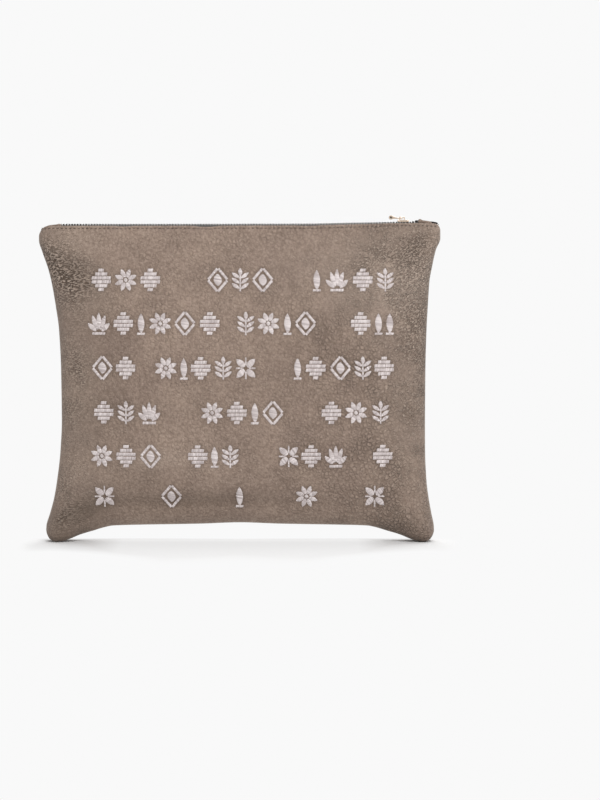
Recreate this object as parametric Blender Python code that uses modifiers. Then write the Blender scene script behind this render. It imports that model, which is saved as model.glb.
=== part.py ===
"""Tallit bag: a flat zipped leather bag, stuffed round, standing on its two bottom corners.

Units are metres, +Z up, +X to the bag's right as seen from the front, which faces -Y. The origin is on the
floor, under the middle of the bag. The side and bottom seams lie in the plane Y = 0.
"""

import math

import bmesh
import bpy

# Leather body
BAG_WIDTH = 0.360
BAG_HEIGHT = 0.2838
BAG_DEPTH = 0.058
LEATHER = 0.0016
CLEARANCE = 0.0003
SEAM_FLANK = 0.0020
FOOT_FLAT = 0.0080
BOTTOM_LIFT = 0.0167
TOP_LEFT_RADIUS = 0.010
TOP_RIGHT_RADIUS = 0.006
BOTTOM_RADIUS = 0.010

# Zip, a metal chain between two woven tapes
MOUTH_END_RADIUS = 0.014
ZIP_PROUD = 0.0008
ZIP_RISE = 0.0032
ZIP_END_INSET = 0.0205
TAPE = 0.0008
TAPE_DEPTH = 0.012
TOOTH_PITCH = 0.0025
TOOTH_WIDTH = 0.00095
TOOTH_THICKNESS = 0.0024
TOOTH_OVERLAP = 0.0007
SPINE_INNER = 0.0018
SPINE_OUTER = 0.0028
CHAIN_PARTING = 0.0014
END_TAB_LENGTH = 0.012
END_TAB_THICKNESS = 0.0024

# Slider and its pull
SLIDER_FROM_SIDE = 0.0335
SLIDER_LENGTH = 0.010
SLIDER_PLATE = 0.0011
SLIDER_FLANGE = 0.0008
POST_LENGTH = 0.0022
BRIDGE_FROM_CENTRE = 0.0010
BRIDGE_LENGTH = 0.0050
BRIDGE_WIDTH = 0.0024
BRIDGE_HEIGHT = 0.0032
BRIDGE_WIRE = 0.0008
PULL_LENGTH = 0.0119
PULL_WIDTH = 0.0050
PULL_THICKNESS = 0.0010
PULL_BAR_WIDTH = 0.0026
PULL_EYE_RADIUS = 0.0019
PULL_EYE_HOLE = 0.00085
PULL_AXIS_LIFT = 0.0013
PULL_TILT = math.radians(6)

HALF_WIDTH = BAG_WIDTH / 2
SLIDER_X = HALF_WIDTH - SLIDER_FROM_SIDE
CHAIN_END = HALF_WIDTH - ZIP_END_INSET
LEATHER_LEAN = 1.1
TAPE_INSIDE = LEATHER * LEATHER_LEAN + CLEARANCE * 1.3
SLIDER_HALF = SPINE_OUTER + CHAIN_PARTING + CLEARANCE + SLIDER_FLANGE
MOUTH_HALF = SLIDER_HALF + CLEARANCE + TAPE + TAPE_INSIDE

# Side edges: share of the height, then how far each edge lies inside the corners, as shares of half the width
SIDE_EDGES = [
    ("height", "left", "right"),
    (0.000, 0.024, 0.024),
    (0.049, 0.027, 0.027),
    (0.088, 0.045, 0.039),
    (0.137, 0.066, 0.053),
    (0.190, 0.081, 0.064),
    (0.289, 0.100, 0.072),
    (0.391, 0.108, 0.073),
    (0.542, 0.106, 0.072),
    (0.673, 0.097, 0.067),
    (0.746, 0.082, 0.061),
    (0.824, 0.061, 0.053),
    (0.863, 0.046, 0.042),
    (0.919, 0.016, 0.022),
    (0.955, 0.000, 0.000),
    (1.000, 0.000, 0.000),
]

# Bottom edge: share of half the width, and the edge's lift there as a share of the lift in the middle
BOTTOM_EDGE = [
    ("across", "lift"),
    (0.00, 1.00),
    (0.31, 0.95),
    (0.46, 0.90),
    (0.61, 0.89),
    (0.67, 0.84),
    (0.72, 0.73),
    (0.77, 0.57),
    (0.83, 0.33),
    (0.86, 0.16),
    (0.89, 0.00),
    (0.92, -0.12),
    (1.00, -0.18),
]

# Top edge: share of half the width from the middle, then the rise of the leather's edge and of the chain
TOP_EDGE = [
    ("across", "leather", "chain"),
    (-1.00, 0.00, 0.00),
    (-0.90, 0.00, 0.00),
    (0.30, 0.10, 0.10),
    (0.60, 0.45, 0.40),
    (0.77, 0.75, 0.56),
    (0.845, 0.80, 0.56),
    (0.885, 0.80, 1.00),
    (1.00, 0.62, 1.00),
]

# Swells and dents of the front: centre and reach as shares of half the width and of the height, the turn in
# degrees, and the rise as a share of half the depth
FRONT_FORMS = [
    ("name", "x", "z", "reach_x", "reach_z", "turn", "rise"),
    ("left foot", -0.93, 0.045, 0.10, 0.070, 0, 0.24),
    ("right foot", 0.93, 0.045, 0.10, 0.070, 0, 0.24),
    ("fold under the left corner", -0.84, 0.850, 0.17, 0.045, -24, -0.13),
    ("swell over that fold", -0.80, 0.925, 0.15, 0.040, -12, 0.07),
    ("fold under the right corner", 0.80, 0.880, 0.16, 0.040, 30, -0.10),
    ("ridge under that fold", 0.86, 0.840, 0.16, 0.040, 34, 0.08),
    ("groove above the bottom", -0.30, 0.085, 0.62, 0.030, 0, -0.09),
    ("swell at the low left", -0.50, 0.220, 0.22, 0.070, -8, 0.06),
    ("swell near the middle", -0.14, 0.240, 0.16, 0.080, 10, 0.05),
    ("dent beside the middle", 0.30, 0.620, 0.30, 0.160, 20, -0.05),
    ("dent at the left", -0.72, 0.480, 0.14, 0.200, 6, -0.06),
]
FOOT_CENTRE = 0.92
FOOT_REACH_ACROSS = 0.085
FOOT_REACH_UP = 0.045

# The bag's section: the share of the height where it is fullest, how it narrows to the zip above that, where
# its swells and dents begin, as shares of the section and of the height, and how much broader than the
# leather's first step it stays
FULLEST = 0.42
WEDGE_POWER = 2.1
FORM_EDGE = 0.25
FORM_TOP = 0.06
LEAST_SPREAD = 1.08
FOOT_FORMS = [FRONT_FORMS[0]] + [row for row in FRONT_FORMS if "foot" in row[0]]

# Lines of the leather's mesh: distances from a seam, as shares of half the width or of the height
EDGE_LINES_ACROSS = (0.0, 0.0, 0.014, 0.030, 0.056, 0.095, 0.150, 0.230)
EDGE_LINES_UP = (0.0, 0.0, 0.009, 0.020, 0.036, 0.060, 0.095, 0.145)
TOP_LINES_UP = (0.915, 0.955, 0.980, 1.0)
MIDDLE_LINES_ACROSS = 13
MIDDLE_LINES_UP = 11


def clear_scene():
    for thing in list(bpy.data.objects):
        bpy.data.objects.remove(thing, do_unlink=True)


def new_collection(name):
    collection = bpy.data.collections.new(name)
    bpy.context.scene.collection.children.link(collection)
    return collection


def material(name, colour, roughness, metallic=0.0):
    result = bpy.data.materials.new(name)
    result.use_nodes = True
    shader = result.node_tree.nodes["Principled BSDF"]
    shader.inputs["Base Color"].default_value = (*colour, 1.0)
    shader.inputs["Roughness"].default_value = roughness
    shader.inputs["Metallic"].default_value = metallic
    return result


def place(name, mesh, finish):
    result = bpy.data.objects.new(name, mesh)
    PARTS.objects.link(result)
    mesh.materials.clear()
    mesh.materials.append(finish)
    return result


def smoothstep(t):
    t = min(max(t, 0.0), 1.0)
    return t * t * (3 - 2 * t)


def slope(rows, i, column):
    """The slope at a row, nought where the column turns, so that flat stretches stay flat."""
    if i in (0, len(rows) - 1):
        return 0.0
    before = (rows[i][column] - rows[i - 1][column]) / (rows[i][0] - rows[i - 1][0])
    after = (rows[i + 1][column] - rows[i][column]) / (rows[i + 1][0] - rows[i][0])
    if before * after <= 0:
        return 0.0
    return 2 * before * after / (before + after)


def along(table, at, name):
    """A smooth reading of one named column between a table's rows."""
    rows = table[1:]
    column = table[0].index(name)
    at = min(max(at, rows[0][0]), rows[-1][0])
    i = 0
    while i < len(rows) - 2 and at > rows[i + 1][0]:
        i += 1
    width = rows[i + 1][0] - rows[i][0]
    t = (at - rows[i][0]) / width
    start = rows[i][column]
    end = rows[i + 1][column]
    lean_start = slope(rows, i, column) * width
    lean_end = slope(rows, i + 1, column) * width
    return (
        start * (1 + 2 * t) * (1 - t) ** 2
        + lean_start * t * (1 - t) ** 2
        + end * t * t * (3 - 2 * t)
        - lean_end * t * t * (1 - t)
    )


def round_corner(x, z):
    """Turns the square corners of the flat pattern into round ones."""
    corners = (
        (-1, 1, TOP_LEFT_RADIUS),
        (1, 1, TOP_RIGHT_RADIUS),
        (-1, -1, BOTTOM_RADIUS),
        (1, -1, BOTTOM_RADIUS),
    )
    for side, end, radius in corners:
        centre_x = side * (HALF_WIDTH - radius)
        centre_z = BAG_HEIGHT - radius if end > 0 else radius
        across = (x - centre_x) * side / radius
        up = (z - centre_z) * end / radius
        if across > 0 and up > 0:
            x = centre_x + side * radius * across * math.sqrt(1 - up * up / 2)
            z = centre_z + end * radius * up * math.sqrt(1 - across * across / 2)
            return x, z
    return x, z


def outline(x, z):
    """Carries a point of the flat pattern to the bag's own outline, feet flattened on the floor."""
    x, z = round_corner(x, z)
    share = z / BAG_HEIGHT
    side = "left" if x < 0 else "right"
    lift = BOTTOM_LIFT * along(BOTTOM_EDGE, abs(x) / HALF_WIDTH, "lift") * (1 - share) ** 3
    rise = ZIP_RISE * along(TOP_EDGE, x / HALF_WIDTH, "leather") * share**3
    return x * (1 - along(SIDE_EDGES, share, side)), max(z + lift + rise, 0.0)


def swell(distance, reach):
    """A pillow's edge: steep at the seam, level at its reach."""
    return math.sqrt(1 - (1 - min(distance / reach, 1.0)) ** 2.4)


def form_depth(forms, x, z):
    total = 0.0
    for _, centre_x, centre_z, reach_x, reach_z, turn, rise in forms[1:]:
        across = x - centre_x * HALF_WIDTH
        up = z - centre_z * BAG_HEIGHT
        angle = math.radians(turn)
        along_form = across * math.cos(angle) + up * math.sin(angle)
        over_form = up * math.cos(angle) - across * math.sin(angle)
        far = (along_form / (reach_x * HALF_WIDTH)) ** 2 + (over_form / (reach_z * BAG_HEIGHT)) ** 2
        total += rise * math.exp(-far)
    return total * BAG_DEPTH / 2


def mouth_half(x):
    """Half the width of the zip's mouth, round at its ends."""
    left = max(HALF_WIDTH - abs(x), 0.0)
    t = min(left / MOUTH_END_RADIUS, 1.0)
    return MOUTH_HALF * math.sqrt(1 - (1 - t) ** 2)


def seam_flank(x, z):
    """The leather's first step out from the seam, broad where a corner is pressed flat on the floor."""
    across = (abs(x) / HALF_WIDTH - FOOT_CENTRE) / FOOT_REACH_ACROSS
    up = z / BAG_HEIGHT / FOOT_REACH_UP
    return SEAM_FLANK + FOOT_FLAT * math.exp(-(across**4) - up**4)


def depth(forms, x, z):
    """How far the leather's outer face stands from the seam plane."""
    flank = seam_flank(x, z)
    side = swell(max(HALF_WIDTH - abs(x), 0.0), HALF_WIDTH)
    low = swell(max(z, 0.0), BAG_HEIGHT / 2)
    if side < 0.02 or low < 0.02:
        return flank
    share = z / BAG_HEIGHT
    belly = (side**-3 + low**-3 - 1) ** (-1 / 3)
    fade = 1 - max((share - FULLEST) / (1 - FULLEST), 0.0) ** WEDGE_POWER
    mouth = mouth_half(x) * share
    room = BAG_DEPTH / 2 - MOUTH_HALF * FULLEST
    edge = min(side, low, FORM_EDGE) / FORM_EDGE * min((1 - share) / FORM_TOP, 1.0)
    return max(mouth + room * belly * fade + form_depth(forms, x, z) * edge, flank * LEAST_SPREAD)


def lines_across():
    edge = [share * HALF_WIDTH for share in EDGE_LINES_ACROSS]
    inner = HALF_WIDTH - edge[-1]
    middle = [inner * (2 * i / (MIDDLE_LINES_ACROSS + 1) - 1) for i in range(1, MIDDLE_LINES_ACROSS + 1)]
    return [d - HALF_WIDTH for d in edge] + middle + [HALF_WIDTH - d for d in reversed(edge)]


def lines_up():
    first = EDGE_LINES_UP[-1]
    last = TOP_LINES_UP[0]
    middle = [first + (last - first) * i / (MIDDLE_LINES_UP + 1) for i in range(1, MIDDLE_LINES_UP + 1)]
    return [share * BAG_HEIGHT for share in list(EDGE_LINES_UP) + middle + list(TOP_LINES_UP)]


def grid_mesh(name, points, flip):
    """A sheet through rows of points."""
    mesh = bmesh.new()
    rows = [[mesh.verts.new(point) for point in row] for row in points]
    for low, high in zip(rows, rows[1:]):
        for i in range(len(low) - 1):
            corners = [low[i], low[i + 1], high[i + 1], high[i]]
            if flip:
                corners.reverse()
            mesh.faces.new(corners)
    bmesh.ops.remove_doubles(mesh, verts=mesh.verts, dist=0.000001)
    result = bpy.data.meshes.new(name)
    mesh.to_mesh(result)
    mesh.free()
    result.shade_smooth()
    return result


def add_wall(thing, thickness):
    wall = thing.modifiers.new("wall", "SOLIDIFY")
    wall.thickness = thickness
    wall.offset = -1.0
    wall.use_even_offset = True


def leather_panel(name, facing, forms, finish):
    """One side of the bag: an open shell whose rim lies in the seam plane, round three sides."""
    across = lines_across()
    up = lines_up()
    points = []
    for j, z in enumerate(up):
        row = []
        for i, x in enumerate(across):
            out_x, out_z = outline(x, z)
            at_rim = i in (0, len(across) - 1) or j == 0
            out_y = CLEARANCE / 2 if at_rim else depth(forms, x, z)
            row.append((out_x, facing * out_y, out_z))
        points.append(row)
    panel = place(name, grid_mesh(name, points, facing > 0), finish)
    add_wall(panel, LEATHER)
    return panel


def chain_height(x):
    """The height of the chain's middle plane."""
    return BAG_HEIGHT + ZIP_PROUD + ZIP_RISE * along(TOP_EDGE, x / HALF_WIDTH, "chain")


def parting(x):
    """How far each half of the chain leaves the middle, beyond the slider's closing end."""
    start = SLIDER_X - SLIDER_LENGTH * 0.35
    return CHAIN_PARTING * smoothstep((x - start) / (SLIDER_LENGTH * 0.7))


def zip_tape(name, facing, finish):
    """A woven tape: level beside the teeth, then down inside the leather."""
    stations = [x for x in lines_across() if abs(x) < CHAIN_END]
    near_slider = [SLIDER_X + SLIDER_LENGTH * t for t in (-0.5, -0.25, 0.0, 0.25, 0.5)]
    stations = sorted([x for x in stations if abs(x - SLIDER_X) > SLIDER_LENGTH] + near_slider)
    stations = [-CHAIN_END] + stations + [CHAIN_END]
    rows = [[], [], [], []]
    for x in stations:
        level = chain_height(x) + TAPE / 2
        inner = SPINE_OUTER + CLEARANCE + parting(x)
        outer = mouth_half(x) - TAPE_INSIDE
        rows[0].append((x, facing * inner, level))
        rows[1].append((x, facing * outer, level))
        for row, down in ((2, 0.4), (3, 1.0)):
            z = BAG_HEIGHT - TAPE_DEPTH * down
            out_x, out_z = outline(x, z)
            rows[row].append((x, facing * (depth(FOOT_FORMS, x, z) - TAPE_INSIDE), out_z))
    tape = place(name, grid_mesh(name, rows, facing < 0), finish)
    add_wall(tape, TAPE)
    return tape


def flat_mesh(name, loops, thickness):
    """A flat plate from closed outlines, the later ones holes, welded into one body."""
    curve = bpy.data.curves.new(name, "CURVE")
    curve.dimensions = "2D"
    curve.fill_mode = "BOTH"
    curve.extrude = thickness / 2
    for points in loops:
        spline = curve.splines.new("POLY")
        spline.points.add(len(points) - 1)
        for point, (x, y) in zip(spline.points, points):
            point.co = (x, y, 0, 1)
        spline.use_cyclic_u = True
    thing = bpy.data.objects.new(name, curve)
    bpy.context.scene.collection.objects.link(thing)
    graph = bpy.context.evaluated_depsgraph_get()
    mesh = bpy.data.meshes.new_from_object(thing.evaluated_get(graph))
    bpy.data.objects.remove(thing, do_unlink=True)
    work = bmesh.new()
    work.from_mesh(mesh)
    bmesh.ops.remove_doubles(work, verts=work.verts, dist=0.00001)
    work.to_mesh(mesh)
    work.free()
    return mesh


def move_mesh(mesh, change):
    """Moves a closed mesh's points and turns its faces outwards again."""
    work = bmesh.new()
    work.from_mesh(mesh)
    for vertex in work.verts:
        vertex.co = change(*vertex.co)
    bmesh.ops.recalc_face_normals(work, faces=work.faces)
    if work.calc_volume(signed=True) < 0:
        bmesh.ops.reverse_faces(work, faces=work.faces)
    work.to_mesh(mesh)
    work.free()


def comb_sheet(name, count, start, facing):
    """The plan of one comb: a spine in short lengths, with its teeth towards the other comb."""
    work = bmesh.new()

    def corner(x, out):
        return work.verts.new((x, facing * (out + parting(x)), chain_height(x) + TOOTH_THICKNESS / 2))

    teeth_here = []
    for i in range(count):
        left = start + i * TOOTH_PITCH - TOOTH_WIDTH / 2
        sides = (left, left + TOOTH_WIDTH)
        root = [corner(x, SPINE_INNER) for x in sides]
        tip = [corner(x, -TOOTH_OVERLAP) for x in sides]
        work.faces.new([root[0], root[1], tip[1], tip[0]])
        teeth_here.append(root)
    first = 0
    back = corner(start - TOOTH_WIDTH / 2, SPINE_OUTER)
    while first < count - 1:
        near_slider = start + first * TOOTH_PITCH > SLIDER_X - SLIDER_LENGTH
        last = min(first + (1 if near_slider else 3), count - 1)
        side = 0 if last < count - 1 else 1
        end = start + last * TOOTH_PITCH + TOOTH_WIDTH * (side - 0.5)
        next_back = corner(end, SPINE_OUTER)
        inner = [vertex for root in teeth_here[first:last] for vertex in root] + teeth_here[last][: side + 1]
        work.faces.new([back, next_back] + list(reversed(inner)))
        first = last
        back = next_back
    bmesh.ops.recalc_face_normals(work, faces=work.faces)
    work.faces.ensure_lookup_table()
    if work.faces[0].normal.z < 0:
        bmesh.ops.reverse_faces(work, faces=work.faces)
    mesh = bpy.data.meshes.new(name)
    work.to_mesh(mesh)
    work.free()
    return mesh


def teeth(name, facing, finish):
    """One comb of metal teeth, which interlocks with its twin from the other side."""
    count = int(2 * CHAIN_END / TOOTH_PITCH)
    start = -CHAIN_END + TOOTH_PITCH * (0.3 if facing < 0 else 0.8)
    comb = place(name, comb_sheet(name, count, start, facing), finish)
    add_wall(comb, TOOTH_THICKNESS)
    comb.modifiers["wall"].use_even_offset = False
    return comb


def end_tab(name, side, finish):
    """A leather tab folded over one end of the zip."""
    inner = CHAIN_END + CLEARANCE
    centre = side * (inner + END_TAB_LENGTH / 2)
    bpy.ops.mesh.primitive_cube_add(size=1)
    tab = bpy.context.active_object
    mesh = tab.data
    width = 2 * (mouth_half(inner + END_TAB_LENGTH) - TAPE_INSIDE)
    size = (END_TAB_LENGTH, width, END_TAB_THICKNESS)
    height = chain_height(side * inner)
    move_mesh(mesh, lambda x, y, z: (centre + x * size[0], y * size[1], height + z * size[2]))
    bpy.data.objects.remove(tab, do_unlink=True)
    tab = place(name, mesh, finish)
    edge = tab.modifiers.new("edge", "BEVEL")
    edge.width = END_TAB_THICKNESS * 0.25
    edge.segments = 2
    return tab


def combine(target, others, operation):
    """Joins or cuts solids, and keeps the result as the target's own mesh."""
    for other in others:
        step = target.modifiers.new("step", "BOOLEAN")
        step.operation = operation
        step.solver = "EXACT"
        step.object = other
    graph = bpy.context.evaluated_depsgraph_get()
    mesh = bpy.data.meshes.new_from_object(target.evaluated_get(graph))
    target.modifiers.clear()
    target.data = mesh
    for other in others:
        bpy.data.objects.remove(other, do_unlink=True)


def tool(name, loops, thickness, change):
    """A working solid for one join or cut."""
    mesh = flat_mesh(name, loops, thickness)
    move_mesh(mesh, change)
    result = bpy.data.objects.new(name, mesh)
    TOOLS.objects.link(result)
    result.hide_render = True
    result.display_type = "WIRE"
    return result


def half_outline(offset, stretch):
    """The chain's plan beside the slider, at a distance outside its spine."""
    stations = [SLIDER_LENGTH * t * stretch for t in (-0.5, -0.3, -0.1, 0.1, 0.3, 0.5)]
    return [(x, SPINE_OUTER + parting(SLIDER_X + x) + offset) for x in stations]


def whole_outline(offset, stretch):
    side = half_outline(offset, stretch)
    return [(x, -y) for x, y in side] + [(x, y) for x, y in reversed(side)]


def arch_profile():
    """The bridge from the side, its feet a little inside the plate."""
    half = BRIDGE_LENGTH / 2
    top = BRIDGE_HEIGHT
    chamfer = BRIDGE_WIRE * 0.85
    foot = -SLIDER_PLATE / 2
    inner = half - BRIDGE_WIRE
    outer_side = [(half, foot), (half, top - chamfer), (half - chamfer, top)]
    inner_side = [(inner, foot), (inner, top - 1.5 * BRIDGE_WIRE), (inner - 0.5 * chamfer, top - BRIDGE_WIRE)]
    outer = outer_side + [(-x, z) for x, z in reversed(outer_side)]
    return outer + [(-x, z) for x, z in inner_side] + list(reversed(inner_side))


def slider(finish):
    """The slider's body: two plates joined by a post, flanges beside the chain, a bridge on top."""
    height = chain_height(SLIDER_X)
    room = TOOTH_THICKNESS + 2 * CLEARANCE
    full = room + 2 * SLIDER_PLATE
    outer = whole_outline(CLEARANCE + SLIDER_FLANGE, 1.0)
    post_half = CHAIN_PARTING - TOOTH_OVERLAP - CLEARANCE
    nose = SLIDER_LENGTH / 2
    post = [
        (nose - POST_LENGTH, 0.0),
        (nose - POST_LENGTH * 0.7, -post_half),
        (nose - POST_LENGTH * 0.1, -post_half),
        (nose - POST_LENGTH * 0.1, post_half),
        (nose - POST_LENGTH * 0.7, post_half),
    ]
    place_here = lambda x, y, z: (x + SLIDER_X, y, z + height)
    body = tool("slider_block", [outer], full, place_here)
    channel = tool("channel", [whole_outline(CLEARANCE, 1.2), post], room, place_here)
    slots = []
    for side in (-1, 1):
        inner = side * SPINE_OUTER
        edge = side * (SPINE_OUTER + CHAIN_PARTING + SLIDER_FLANGE * 3)
        reach = SLIDER_LENGTH * 0.6
        loop = [(-reach, inner), (reach, inner), (reach, edge), (-reach, edge)]
        slots.append(tool("slot", [loop], TAPE + 2 * CLEARANCE, place_here))
    combine(body, [channel] + slots, "DIFFERENCE")
    plate_top = height + full / 2
    bridge_x = SLIDER_X - BRIDGE_FROM_CENTRE
    bridge = tool("bridge", [arch_profile()], BRIDGE_WIDTH, lambda x, y, z: (x + bridge_x, z, y + plate_top))
    combine(body, [bridge], "UNION")
    mesh = body.data
    bpy.data.objects.remove(body, do_unlink=True)
    return place("slider", mesh, finish)


def arc(centre, radius, start, end, steps):
    points = []
    for i in range(steps + 1):
        angle = math.radians(start + (end - start) * i / steps)
        points.append((centre[0] + radius * math.cos(angle), centre[1] + radius * math.sin(angle)))
    return points


def pull_tab(finish):
    """The pull: a frame round the bridge, a tapered bar and an upright eye, on its hinge's axis."""
    half = PULL_THICKNESS / 2
    window_end = -math.hypot(BRIDGE_LENGTH / 2, BRIDGE_HEIGHT - PULL_AXIS_LIFT) - 1.5 * CLEARANCE
    frame_end = window_end - PULL_THICKNESS
    window_half = BRIDGE_WIDTH / 2 + CLEARANCE * 1.4
    outer_half = PULL_WIDTH / 2
    corner = PULL_THICKNESS * 0.5
    frame = [
        (half, -outer_half + corner),
        (half, outer_half - corner),
        (half - corner, outer_half),
        (frame_end, outer_half),
        (frame_end - corner, outer_half - corner),
        (frame_end - corner, -outer_half + corner),
        (frame_end, -outer_half),
        (half - corner, -outer_half),
    ]
    window = [(-half, -window_half), (window_end, -window_half), (window_end, window_half), (-half, window_half)]
    eye_x = PULL_EYE_RADIUS - PULL_LENGTH
    eye = arc((eye_x, 0.0), PULL_EYE_RADIUS, 40, 320, 14)
    bar = [(frame_end - corner * 0.5, -half), (frame_end - corner * 0.5, half)]
    hole = arc((eye_x, 0.0), PULL_EYE_HOLE, 0, 324, 9)
    axis_x = SLIDER_X - BRIDGE_FROM_CENTRE
    plate_top = chain_height(SLIDER_X) + TOOTH_THICKNESS / 2 + CLEARANCE + SLIDER_PLATE
    body = tool("pull_frame", [frame, window], PULL_THICKNESS, lambda x, y, z: (x, y, z))
    blade = tool("pull_blade", [bar + eye, hole], PULL_BAR_WIDTH, lambda x, y, z: (x, z, y))
    combine(body, [blade], "UNION")
    mesh = body.data
    bpy.data.objects.remove(body, do_unlink=True)
    pull = place("pull_tab", mesh, finish)
    pull.location = (axis_x, 0.0, plate_top + PULL_AXIS_LIFT)
    pull.rotation_euler = (0.0, PULL_TILT, 0.0)
    return pull


clear_scene()
PARTS = new_collection("tallit_bag")
TOOLS = new_collection("tools")

LEATHER_FINISH = material("taupe_leather", (0.27, 0.21, 0.17), 0.72)
TAPE_FINISH = material("woven_tape", (0.10, 0.075, 0.06), 0.90)
TEETH_FINISH = material("silver_teeth", (0.62, 0.60, 0.58), 0.30, 1.0)
SLIDER_FINISH = material("pale_nickel", (0.74, 0.66, 0.56), 0.28, 1.0)

leather_panel("front_panel", -1, FRONT_FORMS, LEATHER_FINISH)
leather_panel("back_panel", 1, FOOT_FORMS, LEATHER_FINISH)
zip_tape("zip_tape_front", -1, TAPE_FINISH)
zip_tape("zip_tape_back", 1, TAPE_FINISH)
teeth("teeth_front", -1, TEETH_FINISH)
teeth("teeth_back", 1, TEETH_FINISH)
end_tab("zip_end_left", -1, LEATHER_FINISH)
end_tab("zip_end_right", 1, LEATHER_FINISH)
slider(SLIDER_FINISH)
pull_tab(SLIDER_FINISH)
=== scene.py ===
"""The look of a tallit bag in taupe nubuck leather, with satin-stitched ornament and a metal zip.

Metres, +Z up, +X to the bag's right as seen from its front, which faces -Y.
"""

import math

import bmesh
import bpy
import numpy as np
from mathutils import Matrix, Vector, noise


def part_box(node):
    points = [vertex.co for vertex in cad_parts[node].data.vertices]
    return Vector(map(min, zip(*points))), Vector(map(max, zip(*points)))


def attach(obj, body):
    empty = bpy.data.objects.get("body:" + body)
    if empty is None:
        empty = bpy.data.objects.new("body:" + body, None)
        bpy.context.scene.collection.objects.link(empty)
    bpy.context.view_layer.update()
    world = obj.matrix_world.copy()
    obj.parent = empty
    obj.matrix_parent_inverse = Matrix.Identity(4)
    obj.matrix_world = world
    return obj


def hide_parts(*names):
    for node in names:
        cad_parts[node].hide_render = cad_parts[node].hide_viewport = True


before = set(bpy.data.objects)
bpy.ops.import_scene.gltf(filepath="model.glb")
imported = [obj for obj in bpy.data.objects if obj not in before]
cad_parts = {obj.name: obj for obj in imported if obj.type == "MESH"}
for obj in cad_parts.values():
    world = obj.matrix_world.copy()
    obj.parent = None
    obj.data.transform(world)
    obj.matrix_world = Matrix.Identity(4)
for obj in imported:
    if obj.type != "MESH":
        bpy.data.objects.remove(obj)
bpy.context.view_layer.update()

MM = 0.001
BAG = "bag"
PULL = "pull"

# Sizes of the sewn bag, as its maker would cut it
FRONT_LOW, FRONT_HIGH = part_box("front_panel")
HALF_WIDTH = (FRONT_HIGH[0] - FRONT_LOW[0]) / 2
BAG_HEIGHT = 0.2838
BAG_DEPTH = 0.058
LEATHER = 0.0016
SEAM_GAP = 0.00015
SEAM_ROUND = 0.0026
SEAM_FLANK = 0.0020
SEAM_TUCK = 0.0004
FOOT_FLAT = 0.0080
FOOT_CENTRE = 0.92
FOOT_REACH_ACROSS = 0.085
FOOT_REACH_UP = 0.045
BOTTOM_LIFT = 0.0167
TOP_LEFT_RADIUS = 0.010
TOP_RIGHT_RADIUS = 0.006
BOTTOM_RADIUS = 0.0115

# Sizes of the zip
SLIDER_LOW, SLIDER_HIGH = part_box("slider")
SLIDER_X = (SLIDER_LOW[0] + SLIDER_HIGH[0]) / 2
SLIDER_LENGTH = SLIDER_HIGH[0] - SLIDER_LOW[0]
CHAIN_END = HALF_WIDTH - 0.0205
MOUTH_HALF = 0.00855
MOUTH_END_RADIUS = 0.014
ZIP_PROUD = 0.0008
ZIP_RISE = 0.0032
TAPE = 0.0008
TAPE_DEPTH = 0.012
TAPE_INSIDE = 0.00215
TOOTH_PITCH = 0.0025
TOOTH_THICKNESS = 0.0024
TOOTH_OVERLAP = 0.0007
SPINE_INNER = 0.0018
SPINE_OUTER = 0.0028
CHAIN_PARTING = 0.0014
PULL_EYE_RADIUS = 0.0019
PULL_EYE_HOLE = 0.00085

# Side edges: share of the height, then how far each edge lies inside the corners, as shares of half the width
SIDE_EDGES = [
    ("height", "left", "right"),
    (0.000, 0.024, 0.024),
    (0.049, 0.027, 0.027),
    (0.088, 0.045, 0.039),
    (0.137, 0.066, 0.053),
    (0.190, 0.081, 0.064),
    (0.289, 0.100, 0.072),
    (0.391, 0.108, 0.073),
    (0.542, 0.106, 0.072),
    (0.673, 0.097, 0.067),
    (0.746, 0.082, 0.061),
    (0.824, 0.061, 0.053),
    (0.863, 0.046, 0.042),
    (0.919, 0.016, 0.022),
    (0.955, 0.000, 0.000),
    (1.000, 0.000, 0.000),
]

# Bottom edge: share of half the width, and the edge's lift there as a share of the lift in the middle
BOTTOM_EDGE = [
    ("across", "lift"),
    (0.00, 1.00),
    (0.20, 0.93),
    (0.35, 0.90),
    (0.50, 0.875),
    (0.65, 0.83),
    (0.70, 0.73),
    (0.75, 0.57),
    (0.82, 0.35),
    (0.87, 0.14),
    (0.90, 0.03),
    (0.95, -0.06),
    (1.00, -0.02),
]

# Top edge: share of half the width from the middle, then the rise of the leather's edge and of the chain
TOP_EDGE = [
    ("across", "leather", "chain"),
    (-1.00, 0.00, 0.00),
    (-0.90, 0.00, 0.00),
    (0.30, 0.10, 0.10),
    (0.60, 0.45, 0.40),
    (0.77, 0.75, 0.56),
    (0.845, 0.80, 0.56),
    (0.885, 0.80, 1.00),
    (1.00, 0.62, 1.00),
]

# Swells and dents: centre and reach as shares of half the width and of the height, the turn in degrees, and
# the rise as a share of half the depth
FOOT_FORMS = [
    ("left foot", -0.93, 0.045, 0.10, 0.070, 0, 0.24),
    ("right foot", 0.93, 0.045, 0.10, 0.070, 0, 0.24),
]
FRONT_FORMS = FOOT_FORMS + [
    ("fold under the left corner", -0.84, 0.850, 0.17, 0.045, -24, -0.13),
    ("swell over that fold", -0.80, 0.925, 0.15, 0.040, -12, 0.07),
    ("fold under the right corner", 0.80, 0.880, 0.16, 0.040, 30, -0.10),
    ("ridge under that fold", 0.86, 0.840, 0.16, 0.040, 34, 0.08),
    ("groove above the bottom", -0.30, 0.085, 0.62, 0.030, 0, -0.09),
    ("swell at the low left", -0.50, 0.220, 0.22, 0.070, -8, 0.06),
    ("swell near the middle", -0.14, 0.240, 0.16, 0.080, 10, 0.05),
    ("dent beside the middle", 0.30, 0.620, 0.30, 0.160, 20, -0.05),
    ("dent at the left", -0.72, 0.480, 0.14, 0.200, 6, -0.06),
]

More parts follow.
